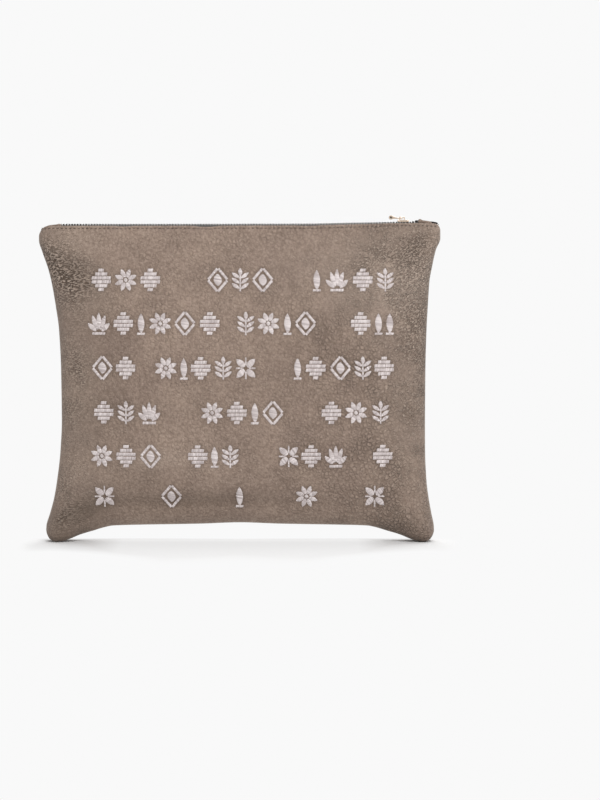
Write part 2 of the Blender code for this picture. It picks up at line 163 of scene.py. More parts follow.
# Places where the leather's top edge sags from the chain: middle, half length and depth in mm
EDGE_DIPS = [("across", "reach", "depth"), (-29.7, 9.5, 0.95), (-103.0, 7.0, 0.55), (62.0, 8.0, 0.40)]

# Fine creases that fan out from the corners: where each starts and ends, as shares of half the width and of
# the height, its half breadth and its depth in mm
CREASES = [
    ("from_x", "from_z", "to_x", "to_z", "breadth", "depth"),
    (-0.975, 0.895, -0.790, 0.865, 1.8, 0.55),
    (-0.965, 0.880, -0.760, 0.835, 2.0, 0.65),
    (-0.955, 0.862, -0.800, 0.800, 2.0, 0.60),
    (-0.940, 0.840, -0.850, 0.775, 1.8, 0.45),
    (-0.930, 0.955, -0.800, 0.930, 1.7, 0.35),
    (0.985, 0.920, 0.830, 0.955, 1.7, 0.50),
    (0.975, 0.905, 0.790, 0.915, 2.0, 0.60),
    (0.965, 0.885, 0.800, 0.860, 2.0, 0.60),
    (0.950, 0.860, 0.850, 0.800, 1.8, 0.45),
    (-0.960, 0.060, -0.800, 0.110, 2.2, 0.60),
    (-0.930, 0.085, -0.780, 0.160, 2.2, 0.50),
    (-0.880, 0.035, -0.700, 0.075, 2.0, 0.45),
    (0.960, 0.060, 0.800, 0.110, 2.2, 0.60),
    (0.930, 0.085, 0.780, 0.160, 2.2, 0.50),
]


# Small helpers


def linear(hex_colour):
    """An sRGB hex colour as linear RGBA."""
    channels = [int(hex_colour[i : i + 2], 16) / 255 for i in (1, 3, 5)]
    return tuple(c / 12.92 if c <= 0.04045 else ((c + 0.055) / 1.055) ** 2.4 for c in channels) + (1.0,)


def smoothstep(t):
    t = np.clip(t, 0.0, 1.0)
    return t * t * (3 - 2 * t)


def read(table, name, at):
    """A smooth reading of one named column; a stretch between equal rows stays flat."""
    rows = np.array(table[1:], dtype=float)
    column = rows[:, table[0].index(name)]
    places = rows[:, 0]
    at = np.clip(np.asarray(at, dtype=float), places[0], places[-1])
    steps = np.diff(column) / np.diff(places)
    product = steps[:-1] * steps[1:]
    total = np.where(product > 0, steps[:-1] + steps[1:], 1.0)
    slopes = np.concatenate([[0.0], np.where(product > 0, 2 * product / total, 0.0), [0.0]])
    i = np.clip(np.searchsorted(places, at, side="left") - 1, 0, len(places) - 2)
    width = places[i + 1] - places[i]
    t = (at - places[i]) / width
    return (
        column[i] * (1 + 2 * t) * (1 - t) ** 2
        + slopes[i] * width * t * (1 - t) ** 2
        + column[i + 1] * t * t * (3 - 2 * t)
        - slopes[i + 1] * width * t * t * (1 - t)
    )


def rough_field(x, z, size, seed, octaves=3):
    """Soft noise between about -1 and 1 whose lumps measure about the given size."""
    flat = np.broadcast_arrays(x, z)
    shape = flat[0].shape
    values = [
        noise.fractal(Vector((a / size, b / size, seed)), 1.0, 2.0, octaves)
        for a, b in zip(flat[0].ravel(), flat[1].ravel())
    ]
    return np.array(values).reshape(shape)


def mesh_piece(name, mesh, body, *finishes):
    """A finished piece at the origin, riding on a body."""
    piece = bpy.data.objects.new(name, mesh)
    bpy.context.scene.collection.objects.link(piece)
    piece.data.materials.clear()
    for finish in finishes:
        piece.data.materials.append(finish)
    PIECES.append((piece, body))
    return piece


def settle(piece):
    """Takes the modifiers' result as the piece's own mesh."""
    graph = bpy.context.evaluated_depsgraph_get()
    mesh = bpy.data.meshes.new_from_object(piece.evaluated_get(graph))
    piece.modifiers.clear()
    piece.data = mesh
    return piece


def sheet_mesh(name, points, flip=False):
    """A mesh through a grid of points with the shape (rows, columns, 3)."""
    rows, columns, _ = points.shape
    index = np.arange(rows * columns).reshape(rows, columns)
    faces = np.stack([index[:-1, :-1], index[:-1, 1:], index[1:, 1:], index[1:, :-1]], axis=-1).reshape(-1, 4)
    if flip:
        faces = faces[:, ::-1]
    mesh = bpy.data.meshes.new(name)
    mesh.from_pydata(points.reshape(-1, 3).tolist(), [], faces.tolist())
    mesh.shade_smooth()
    return mesh


def add_wall(piece, thickness):
    wall = piece.modifiers.new("wall", "SOLIDIFY")
    wall.thickness = thickness
    wall.offset = -1.0
    wall.use_quality_normals = True


PIECES = []


# The satin-stitched ornament: motifs of straight columns on the finished front, sizes in mm from the motif's
# middle. A column is (from_x, from_z, to_x, to_z, half breadth at its start, middle and end)


def petal(angle, near, far, half):
    """A leaf-shaped column that leaves the motif's middle at an angle."""
    turn = math.radians(angle)
    ux, uz = math.cos(turn), math.sin(turn)
    return (near * ux, near * uz, far * ux, far * uz, half * 0.35, half, 0.15)


def bar(from_x, from_z, to_x, to_z, half):
    return (from_x, from_z, to_x, to_z, half, half, half)


def mirrored(columns):
    """Columns and their mirror images across the motif's upright."""
    return columns + [(-a, b, -c, d, *halves) for a, b, c, d, *halves in columns if a or c]


def rosette():
    return [petal(22.5 + 45 * i, 2.6, 10.2, 2.2) for i in range(8)] + [(0, -1.9, 0, 1.9, 0.2, 1.9, 0.2)]


def stepped_diamond():
    upper = [bar(-2.4, 8.6, 2.4, 8.6, 1.5), bar(-5.4, 5.2, 5.4, 5.2, 1.6), bar(-8.6, 1.75, 8.6, 1.75, 1.6)]
    return upper + [(a, -b, c, -d, *halves) for a, b, c, d, *halves in upper]


def framed_diamond():
    frame_columns = [bar(0.4, 10.0, 8.4, 0.5, 1.25), bar(0.4, -10.0, 8.4, -0.5, 1.25)]
    return mirrored(frame_columns) + [(0, -5.2, 0, 5.2, 0.2, 3.9, 0.2)]


def sprig():
    leaves = [(0.9, base, 7.4, base + 4.6, 0.4, 1.75, 0.15) for base in (-7.6, -2.9, 1.8)]
    return mirrored(leaves) + [bar(0, -10.2, 0, 4.0, 0.8), (0, 4.2, 0, 10.4, 0.7, 2.0, 0.15)]


def fan():
    rays = []
    for angle in (28, 59, 90, 121, 152):
        turn = math.radians(angle)
        near_x, near_z = 3.0 * math.cos(turn), 3.0 * math.sin(turn) - 8.2
        far_x, far_z = 15.2 * math.cos(turn) * 0.72, 17.6 * math.sin(turn) - 8.2
        rays.append((near_x, near_z, far_x, far_z, 0.5, 2.3, 0.2))
    return rays + [bar(-5.8, -9.0, 5.8, -9.0, 1.3)]


def star():
    wide = [petal(45 + 90 * i, 1.8, 11.4, 2.9) for i in range(4)]
    thin = [bar(0, 3.0, 0, 9.6, 0.8), bar(0, -3.0, 0, -9.6, 0.8), bar(3.0, 0, 8.6, 0, 0.8), bar(-3.0, 0, -8.6, 0, 0.8)]
    return wide + thin


def bud():
    return [(0, -8.6, 0, 8.6, 0.3, 3.2, 0.2), bar(-3.4, -9.2, 3.4, -9.2, 1.1)]


MOTIFS = {
    "rosette": (rosette(), 20.5),
    "steps": (stepped_diamond(), 18.0),
    "diamond": (framed_diamond(), 19.0),
    "sprig": (sprig(), 15.5),
    "fan": (fan(), 21.0),
    "star": (star(), 18.0),
    "bud": (bud(), 7.5),
}

# Rows from the top: height of the middle, and the motifs with the place of each middle across, all in mm
ROWS = [
    ("row", "height", "motifs"),
    (1, 235.6, [("steps", -123), ("rosette", -101), ("steps", -79), ("diamond", -19), ("sprig", 1), ("diamond", 21),
                ("bud", 69), ("fan", 87), ("steps", 110), ("sprig", 130)]),
    (2, 197.0, [("fan", -125), ("steps", -103), ("bud", -87), ("rosette", -70), ("diamond", -48), ("steps", -26),
                ("sprig", 6), ("rosette", 26), ("bud", 43), ("diamond", 59), ("steps", 108), ("bud", 124),
                ("bud", 134)]),
    (3, 157.4, [("diamond", -122), ("steps", -101), ("rosette", -65), ("bud", -49), ("steps", -34), ("sprig", -14),
                ("star", 6), ("bud", 52), ("steps", 68), ("diamond", 90), ("sprig", 110), ("steps", 129)]),
    (4, 117.6, [("steps", -121), ("sprig", -101), ("fan", -80), ("rosette", -24), ("steps", -2), ("bud", 14),
                ("diamond", 30), ("steps", 82), ("rosette", 104), ("sprig", 126)]),
    (5, 78.6, [("rosette", -123), ("steps", -101), ("diamond", -79), ("steps", -37), ("bud", -22), ("sprig", -8),
               ("star", 44), ("steps", 64), ("fan", 86), ("steps", 128)]),
    (6, 42.0, [("star", -121), ("diamond", -61), ("bud", 0), ("rosette", 60), ("star", 121)]),
]

STITCH_STEP = 0.42 * MM
THREAD_HALF = 0.25 * MM
SEWN_CELL = 1.0 * MM
SEWN_ORIGIN = (-0.160, 0.020)
SEWN_CELLS = (320, 240)


def row_stitches(row):
    """The stitches of one row: their two ends on the finished front, the crown's height and a random tone."""
    number, height, motifs = row
    chance = np.random.default_rng(100 + number)
    stitches = []
    for kind, across in motifs:
        for from_x, from_z, to_x, to_z, *halves in MOTIFS[kind][0]:
            start = np.array([across + from_x, height + from_z]) * MM
            end = np.array([across + to_x, height + to_z]) * MM
            length = np.hypot(*(end - start))
            forward = (end - start) / length
            sideways = np.array([-forward[1], forward[0]])
            count = max(int(length / STITCH_STEP), 2)
            t = (np.arange(count) + 0.5) / count
            half = np.interp(t, [0.0, 0.5, 1.0], halves)
            if halves[1] > halves[0]:
                bulge = np.sin(np.pi * t) ** 0.75
                half = halves[0] * (1 - t) + halves[2] * t + (halves[1] - (halves[0] + halves[2]) / 2) * bulge
            half = half * MM
            middle = start + forward * (t * length)[:, None]
            middle = middle + forward * (chance.normal(0, 0.03, count) * MM)[:, None]
            slant = forward * (half * 0.16)[:, None]
            left = middle - sideways * (half + chance.normal(0, 0.09, count) * MM)[:, None] - slant
            right = middle + sideways * (half + chance.normal(0, 0.09, count) * MM)[:, None] + slant
            bundles = np.repeat(chance.random(count // 3 + 1), 3)[:count]
            tone = np.clip(0.30 + 0.45 * bundles + chance.normal(0, 0.12, count), 0, 1)
            crown = np.clip(0.26 * MM + 0.15 * half, 0, 0.72 * MM) * (0.86 + 0.22 * bundles)
            stitches.append(np.column_stack([left, right, crown, tone]))
    return np.concatenate(stitches)


def blurred(field, reach):
    """A field averaged over a window, twice, in both directions."""
    window = np.ones(2 * reach + 1) / (2 * reach + 1)
    for axis in (0, 1, 0, 1):
        field = np.apply_along_axis(lambda line: np.convolve(line, window, "same"), axis, field)
    return field


def sewn_fields(rows):
    """How much thread lies at each cell of the finished front, close by and in a wider reach."""
    field = np.zeros((SEWN_CELLS[1], SEWN_CELLS[0]))
    for stitches in rows:
        for share in np.linspace(0.0, 1.0, 9):
            place = stitches[:, 0:2] * (1 - share) + stitches[:, 2:4] * share
            column = ((place[:, 0] - SEWN_ORIGIN[0]) / SEWN_CELL).astype(int)
            line = ((place[:, 1] - SEWN_ORIGIN[1]) / SEWN_CELL).astype(int)
            field[np.clip(line, 0, SEWN_CELLS[1] - 1), np.clip(column, 0, SEWN_CELLS[0] - 1)] = 1.0
    return blurred(field, 1), blurred(field, 3)


STITCHES = [row_stitches(row) for row in ROWS[1:]]
SEWN_CLOSE, SEWN_WIDE = sewn_fields(STITCHES)


def sewn_at(field, out_x, out_z):
    """A reading of a sewn field between its cells."""
    across = np.clip((out_x - SEWN_ORIGIN[0]) / SEWN_CELL - 0.5, 0, SEWN_CELLS[0] - 1.001)
    up = np.clip((out_z - SEWN_ORIGIN[1]) / SEWN_CELL - 0.5, 0, SEWN_CELLS[1] - 1.001)
    i, j = across.astype(int), up.astype(int)
    s, t = across - i, up - j
    low = field[j, i] * (1 - s) + field[j, i + 1] * s
    high = field[j + 1, i] * (1 - s) + field[j + 1, i + 1] * s
    return low * (1 - t) + high * t


def sewn_press(x, z):
    """How far the stitches draw the leather in, with small puckers round them."""
    out_x, out_z = outline(x, z)
    wide = sewn_at(SEWN_WIDE, out_x, out_z)
    pucker = rough_field(out_x, out_z, 5.5 * MM, 12.7, 2) * 0.30 * MM * np.minimum(wide * 2.5, 1.0)
    return 0.34 * MM * sewn_at(SEWN_CLOSE, out_x, out_z) + 0.25 * MM * wide + pucker


# The leather's surface


def round_corners(x, z):
    """Turns the square corners of the flat pattern into round ones."""
    corners = (
        (-1, 1, TOP_LEFT_RADIUS),
        (1, 1, TOP_RIGHT_RADIUS),
        (-1, -1, BOTTOM_RADIUS),
        (1, -1, BOTTOM_RADIUS),
    )
    new_x, new_z = x.copy(), z.copy()
    for side, end, radius in corners:
        centre_x = side * (HALF_WIDTH - radius)
        centre_z = BAG_HEIGHT - radius if end > 0 else radius
        across = (x - centre_x) * side / radius
        up = (z - centre_z) * end / radius
        here = (across > 0) & (up > 0)
        bent_x = centre_x + side * radius * across * np.sqrt(np.clip(1 - up * up / 2, 0, 1))
        bent_z = centre_z + end * radius * up * np.sqrt(np.clip(1 - across * across / 2, 0, 1))
        new_x = np.where(here, bent_x, new_x)
        new_z = np.where(here, bent_z, new_z)
    return new_x, new_z


def outline(x, z):
    """Carries points of the flat pattern to the bag's own outline, feet flat on the floor."""
    x, z = round_corners(np.asarray(x, dtype=float), np.asarray(z, dtype=float))
    share = z / BAG_HEIGHT
    lift = BOTTOM_LIFT * read(BOTTOM_EDGE, "lift", abs(x) / HALF_WIDTH) * (1 - share) ** 3
    rise = ZIP_RISE * read(TOP_EDGE, "leather", x / HALF_WIDTH) * share**3
    inset = np.where(x < 0, read(SIDE_EDGES, "left", share), read(SIDE_EDGES, "right", share))
    return x * (1 - inset), np.maximum(z + lift + rise, 0.0)


def pattern_place(out_x, out_z):
    """The pattern's point that lands on a place of the finished front."""
    x, z = np.array(out_x, dtype=float), np.array(out_z, dtype=float)
    for _ in range(6):
        now_x, now_z = outline(x, z)
        x = x + out_x - now_x
        z = z + out_z - now_z
    return x, z


def swell(distance, reach):
    """A pillow's edge: steep at the stitched rim, level at its reach."""
    return np.sqrt(1 - (1 - np.clip(distance / reach, 0.0, 1.0)) ** 2.4)


def form_depth(forms, x, z):
    total = np.zeros_like(x)
    for _, centre_x, centre_z, reach_x, reach_z, turn, rise in forms:
        across = x - centre_x * HALF_WIDTH
        up = z - centre_z * BAG_HEIGHT
        angle = math.radians(turn)
        along_form = across * math.cos(angle) + up * math.sin(angle)
        over_form = up * math.cos(angle) - across * math.sin(angle)
        far = (along_form / (reach_x * HALF_WIDTH)) ** 2 + (over_form / (reach_z * BAG_HEIGHT)) ** 2
        total += rise * np.exp(-far)
    return total * BAG_DEPTH / 2


def mouth_half(x):
    """Half the width of the zip's mouth, round at its ends."""
    t = np.clip((HALF_WIDTH - abs(x)) / MOUTH_END_RADIUS, 0.0, 1.0)
    return MOUTH_HALF * np.sqrt(1 - (1 - t) ** 2)


def depth(forms, x, z):
    """How far the leather's outer face stands from the plane where the two panels are stitched together."""
    from_side = np.maximum(HALF_WIDTH - abs(x), 0.0)
    side = np.maximum(swell(from_side, HALF_WIDTH), 1e-4)
    low = np.maximum(swell(z, BAG_HEIGHT / 2), 1e-4)
    share = z / BAG_HEIGHT
    belly = (side**-3 + low**-3 - 1) ** (-1 / 3)
    fade = 1 - np.maximum((share - 0.42) / 0.58, 0.0) ** 2.1
    room = BAG_DEPTH / 2 - MOUTH_HALF * 0.42
    edge = np.minimum(np.minimum(side, low), 0.25) / 0.25 * np.clip((1 - share) / 0.06, 0.0, 1.0)
    body = mouth_half(x) * share + room * belly * fade + form_depth(forms, x, z) * edge
    across = (abs(x) / HALF_WIDTH - FOOT_CENTRE) / FOOT_REACH_ACROSS
    flank = SEAM_FLANK + FOOT_FLAT * np.exp(-(across**4) - (share / FOOT_REACH_UP) ** 4)
    from_seam = np.minimum(from_side, z)
    turn = np.sqrt(1 - (1 - np.clip(from_seam / SEAM_ROUND, 0.0, 1.0)) ** 2)
    return (np.maximum(body, 0.0) ** 5 + (flank * turn) ** 5) ** 0.2


def crease_depth(x, z):
    """The fine creases near the corners."""
    total = np.zeros_like(x)
    for from_x, from_z, to_x, to_z, breadth, deep in CREASES[1:]:
        ax, az = from_x * HALF_WIDTH, from_z * BAG_HEIGHT
        bx, bz = to_x * HALF_WIDTH, to_z * BAG_HEIGHT
        length = math.hypot(bx - ax, bz - az)
        ux, uz = (bx - ax) / length, (bz - az) / length
        forward = ((x - ax) * ux + (z - az) * uz) / length
        wander = 1.2 * MM * np.sin(forward * 7 + ax * 90)
        off = ((z - az) * ux - (x - ax) * uz + wander) / (breadth * MM)
        ends = smoothstep(forward / 0.25) * smoothstep((1 - forward) / 0.45)
        total += deep * MM * ends * (np.exp(-(off**2)) - 0.45 * np.exp(-((abs(off) - 1.7) ** 2)))
    return total


def relief(forms, x, z):
    """Folds, puckers and creases too fine for the bag's main form, positive outwards."""
    from_side = HALF_WIDTH - abs(x)
    from_top = BAG_HEIGHT - z
    edge = np.clip(np.minimum(from_side, np.minimum(z, from_top)) / (4 * MM), 0.0, 1.0)
    side_near = np.exp(-((from_side / (13 * MM)) ** 2))
    puckers = np.sin(z / (5.2 * MM) + 2.2 * np.sin(z / (31 * MM))) * 0.32 * MM * side_near
    low_near = np.exp(-((z / (12 * MM)) ** 2))
    puckers += np.sin(x / (6.1 * MM) + 1.7 * np.sin(x / (40 * MM))) * 0.22 * MM * low_near
    stitch_dip = -0.20 * MM * np.exp(-(((from_top - 2.4 * MM) / (0.9 * MM)) ** 2))
    scallop = 0.10 * MM * np.cos(2 * math.pi * x / STITCH_PITCH) * np.exp(-((from_top / (3 * MM)) ** 2))
    waves = rough_field(x, z, 38 * MM, 3.1, 2) * 0.75 * MM + rough_field(x, z, 13 * MM, 8.4, 2) * 0.16 * MM
    seamless = smoothstep(from_top / (10 * MM))
    fine = puckers + waves * seamless
    if forms is FRONT_FORMS:
        fine = fine - crease_depth(x, z) - sewn_press(x, z)
    return fine * edge + stitch_dip + scallop


def leather_point(forms, facing, x, z):
    """Points on the leather's outer face for places of the flat pattern."""
    out_x, out_z = outline(x, z)
    out_y = depth(forms, x, z) + relief(forms, x, z)
    from_top = BAG_HEIGHT - z
    roll = np.clip(1 - from_top / EDGE_ROLL, 0.0, 1.0)
    for across, reach, drop in EDGE_DIPS[1:]:
        out_z = out_z - drop * MM * np.exp(-(((x / MM - across) / reach) ** 4)) * smoothstep(1 - from_top / (7 * MM))
    out_y = out_y - EDGE_ROLL * 0.6 * (1 - np.sqrt(1 - roll**2))
    return np.stack([out_x, facing * np.maximum(out_y, SEAM_GAP), out_z], axis=-1)


STITCH_PITCH = 3.8 * MM
STITCH_FROM_EDGE = 2.4 * MM
EDGE_ROLL = 1.5 * MM


def lines(size, pitch, at_start, at_end):
    """Mesh lines from one edge to the other, closer together near an edge."""
    near = (0.0, 0.12, 0.4, 0.8, 1.35, 2.0, 2.8)
    low = [d * MM for d in near] if at_start else [0.0]
    high = [size - d * MM for d in reversed(near)] if at_end else [size]
    count = max(int((high[0] - low[-1]) / pitch), 2)
    middle = np.linspace(low[-1], high[0], count + 1)[1:-1]
    return np.concatenate([low, middle, high])


def leather_panel(name, facing, forms, pitch, finish):
    """One side of the bag: a single cut of leather, pressed round by what it holds."""
    across = lines(2 * HALF_WIDTH, pitch, True, True) - HALF_WIDTH
    up = lines(BAG_HEIGHT, pitch, True, True)
    x, z = np.meshgrid(across, up)
    points = leather_point(forms, facing, x, z)
    rim_x = x * (1 - SEAM_TUCK / HALF_WIDTH)
    rim_z = np.maximum(z, SEAM_TUCK)
    rim = np.stack([*outline(rim_x, rim_z), np.full_like(x, facing * SEAM_GAP)], axis=-1)[..., [0, 2, 1]]
    at_rim = (abs(x) > HALF_WIDTH - 1e-7) | (z < 1e-7)
    points = np.where(at_rim[..., None], rim, points)
    mesh = sheet_mesh(name, points, facing > 0)
    add_shades(mesh, x, z, forms)
    panel = mesh_piece(name, mesh, BAG, finish)
    add_wall(panel, LEATHER)
    return settle(panel)


def near(x, z, centre_x, centre_z, reach_x, reach_z):
    """1 at a place of the front and nought away from it; shares of half the width and of the height."""
    across = (x / HALF_WIDTH - centre_x) / reach_x
    up = (z / BAG_HEIGHT - centre_z) / reach_z
    return np.exp(-(across**2) - up**2)


# Places of the front with painted shade, or painted light where the last number is below nought: middle and reach
# as shares of half the width and of the height, and how dark
FRONT_PAINTED_SHADES = [
    (-0.84, 0.08, 0.16, 0.06, 0.55),
    (-0.87, 0.90, 0.12, 0.04, 0.14),
    (-0.86, 0.83, 0.13, 0.04, 0.12),
    (-0.85, 0.72, 0.13, 0.10, 0.14),
    (-0.85, 0.42, 0.13, 0.16, 0.18),
    (-0.55, 0.19, 0.18, 0.05, 0.19),
    (0.84, 0.79, 0.18, 0.09, -0.30),
    (-0.30, 0.60, 0.25, 0.12, -0.08),
]


def add_shades(mesh, x, z, forms):
    """Attributes that the leather's colour and grain follow, painted shade and painted light among them."""
    from_side = HALF_WIDTH - abs(x)
    out_x, out_z = outline(x, z)
    patchy = 0.75 + 0.5 * rough_field(x, z, 20 * MM, 5.5, 2)
    grain = 0.24 + 0.26 * smoothstep((x / HALF_WIDTH - 0.2) / 0.6) - 0.08 * near(x, z, 0.0, 0.0, 1.2, 0.14)
    fan = 0.85 * near(x, z, -0.93, 0.86, 0.19, 0.10) + 0.62 * near(x, z, -0.95, 0.55, 0.16, 0.42)
    fan = fan + 0.35 * near(x, z, -0.90, 0.10, 0.22, 0.12) + 0.25 * near(x, z, 0.92, 0.08, 0.2, 0.12)
    slant = 1.1 * near(x, z, 0.90, 0.84, 0.34, 0.14) + 0.9 * near(x, z, 0.98, 0.60, 0.20, 0.40)
    slant = slant + 0.2 * near(x, z, 0.50, 0.88, 0.45, 0.10)
    # Painted shade: darker towards the bottom, and in a band just above it
    low = np.exp(-((z / (24 * MM)) ** 2))
    shade = 0.04 * low + 0.22 * near(x, z, -0.30, 0.09, 0.45, 0.045)
    painted_stitch_shadow = np.zeros_like(x)
    if forms is FRONT_FORMS:
        # Painted shade at the listed places, and painted light where a place's strength is below nought
        for centre_x, centre_z, reach_x, reach_z, tone in FRONT_PAINTED_SHADES:
            shade = shade + tone * near(x, z, centre_x, centre_z, reach_x, reach_z)
        # Painted shade in the creases and dents, painted light on the ridges beside the creases and on the swells
        shade = shade + 0.16 * np.clip(crease_depth(x, z) / (0.6 * MM), -0.3, 1.0)
        shade = shade + 0.12 * np.clip(-form_depth(forms[2:], x, z) / (2.5 * MM), -0.4, 1.0)
        # Painted shadow: darker leather close round the raised satin stitches
        painted_stitch_shadow = np.clip(sewn_at(SEWN_CLOSE, out_x, out_z) * 0.9 + sewn_at(SEWN_WIDE, out_x, out_z) * 0.5, 0, 1)
    # Real wear: paler leather along the seams
    worn_seam_and_painted_light = np.exp(-((np.minimum(from_side, z) / (1.2 * MM)) ** 2))
    # Painted light: paler patches where the light falls more fully on the front, laid over the seams' wear
    painted_light_patches = near(x, z, -0.48, 0.245, 0.16, 0.035) + 0.6 * near(x, z, 0.78, 0.84, 0.3, 0.14)
    painted_light_patches = painted_light_patches + 0.5 * near(x, z, 0.84, 0.79, 0.12, 0.07) + 0.6 * near(x, z, 0.93, 0.80, 0.05, 0.05) + 0.5 * near(x, z, -0.16, 0.25, 0.14, 0.05)
    shades = {"grain": grain * patchy, "fan": fan * patchy, "slant": slant * patchy, "shade": shade}
    shades |= {"worn_seam_and_painted_light": worn_seam_and_painted_light + 0.55 * painted_light_patches, "painted_stitch_shadow": painted_stitch_shadow}
    for title, values in shades.items():
        layer = mesh.attributes.new(title, "FLOAT", "POINT")
        layer.data.foreach_set("value", np.clip(values, -0.3, 1.0).astype(np.float32).ravel())


# Materials


def new_material(name):
    material = bpy.data.materials.new(name)
    material.use_nodes = True
    tree = material.node_tree
    return material, tree, tree.nodes["Principled BSDF"]


def add(tree, kind, inputs=None, **settings):
    """Adds a node with its settings, and sets or links its inputs."""
    node = tree.nodes.new(kind)
    for key, value in settings.items():
        setattr(node, key, value)
    for socket, value in (inputs or {}).items():
        if isinstance(value, bpy.types.NodeSocket):
            tree.links.new(value, node.inputs[socket])
        else:
            node.inputs[socket].default_value = value
    return node


def shade_with(tree, shader, inputs):
    """Sets or links the shader's own inputs."""
    for socket, value in inputs.items():
        if isinstance(value, bpy.types.NodeSocket):
            tree.links.new(value, shader.inputs[socket])
        else:
            shader.inputs[socket].default_value = value


def object_place(tree):
    return add(tree, "ShaderNodeTexCoord").outputs["Object"]


def attribute(tree, name):
    return add(tree, "ShaderNodeAttribute", attribute_name=name).outputs["Fac"]


def noise_of(tree, place, size, detail=3.0, rough=0.55):
    """Noise between 0 and 1 whose lumps measure a size in mm."""
    inputs = {"Vector": place, "Scale": 1 / (size * MM), "Detail": detail, "Roughness": rough}
    return add(tree, "ShaderNodeTexNoise", inputs).outputs["Fac"]


def spread_out(tree, value, low, high, from_low=0.0, from_high=1.0):
    inputs = {"Value": value, "From Min": from_low, "From Max": from_high, "To Min": low, "To Max": high}
    return add(tree, "ShaderNodeMapRange", inputs).outputs["Result"]


def calc(tree, operation, *values):
    return add(tree, "ShaderNodeMath", dict(enumerate(values)), operation=operation).outputs[0]


def tint(tree, factor, first, second, blend="MIX"):
    """A colour mix; the colours are sockets, hex values or grey levels."""
    node = add(tree, "ShaderNodeMix", {0: factor}, data_type="RGBA", blend_type=blend, clamp_factor=True)
    for socket, value in ((6, first), (7, second)):
        if isinstance(value, bpy.types.NodeSocket):
            tree.links.new(value, node.inputs[socket])
        else:
            node.inputs[socket].default_value = linear(value)
    return node.outputs[2]


def bump(tree, height, distance, strength, normal=None):
    inputs = {"Height": height, "Distance": distance * MM, "Strength": strength}
    if normal:
        inputs["Normal"] = normal
    return add(tree, "ShaderNodeBump", inputs).outputs["Normal"]


def cell_valleys(tree, place, size, width, turn=0.0, stretch=1.0):
    """Creases between cells of a size in mm: 1 in the crease, 0 on the cell; the cells may be long and leaning."""
    turned = add(
        tree,
        "ShaderNodeVectorRotate",
        {"Vector": place, "Axis": (0.0, 1.0, 0.0), "Angle": math.radians(turn)},
        rotation_type="AXIS_ANGLE",
    ).outputs[0]
    scaled = add(tree, "ShaderNodeVectorMath", {0: turned, 1: (1 / stretch, 1.0, 1.0)}, operation="MULTIPLY").outputs[0]
    cells = add(
        tree,
        "ShaderNodeTexVoronoi",
        {"Vector": scaled, "Scale": 1 / (size * MM)},
        feature="DISTANCE_TO_EDGE",
    ).outputs["Distance"]
    inputs = {"Value": cells, "From Max": width, "To Min": 1.0, "To Max": 0.0}
    return add(tree, "ShaderNodeMapRange", inputs, interpolation_type="SMOOTHSTEP").outputs["Result"]


def drawn_lines(tree, place, size, turn, stretch):
    """Long shallow lines that lean, as where soft leather is drawn in: 1 in a valley, 0 on a ridge."""
    turned = add(
        tree,
        "ShaderNodeVectorRotate",
        {"Vector": place, "Axis": (0.0, 1.0, 0.0), "Angle": math.radians(turn)},
        rotation_type="AXIS_ANGLE",
    ).outputs[0]
    scaled = add(tree, "ShaderNodeVectorMath", {0: turned, 1: (1 / stretch, 1.0, 1.0)}, operation="MULTIPLY").outputs[0]
    ripple = noise_of(tree, scaled, size, 1.0, 0.4)
    return add(
        tree,
        "ShaderNodeMapRange",
        {"Value": ripple, "From Min": 0.38, "From Max": 0.60, "To Min": 1.0, "To Max": 0.0},
        interpolation_type="SMOOTHSTEP",
    ).outputs["Result"]


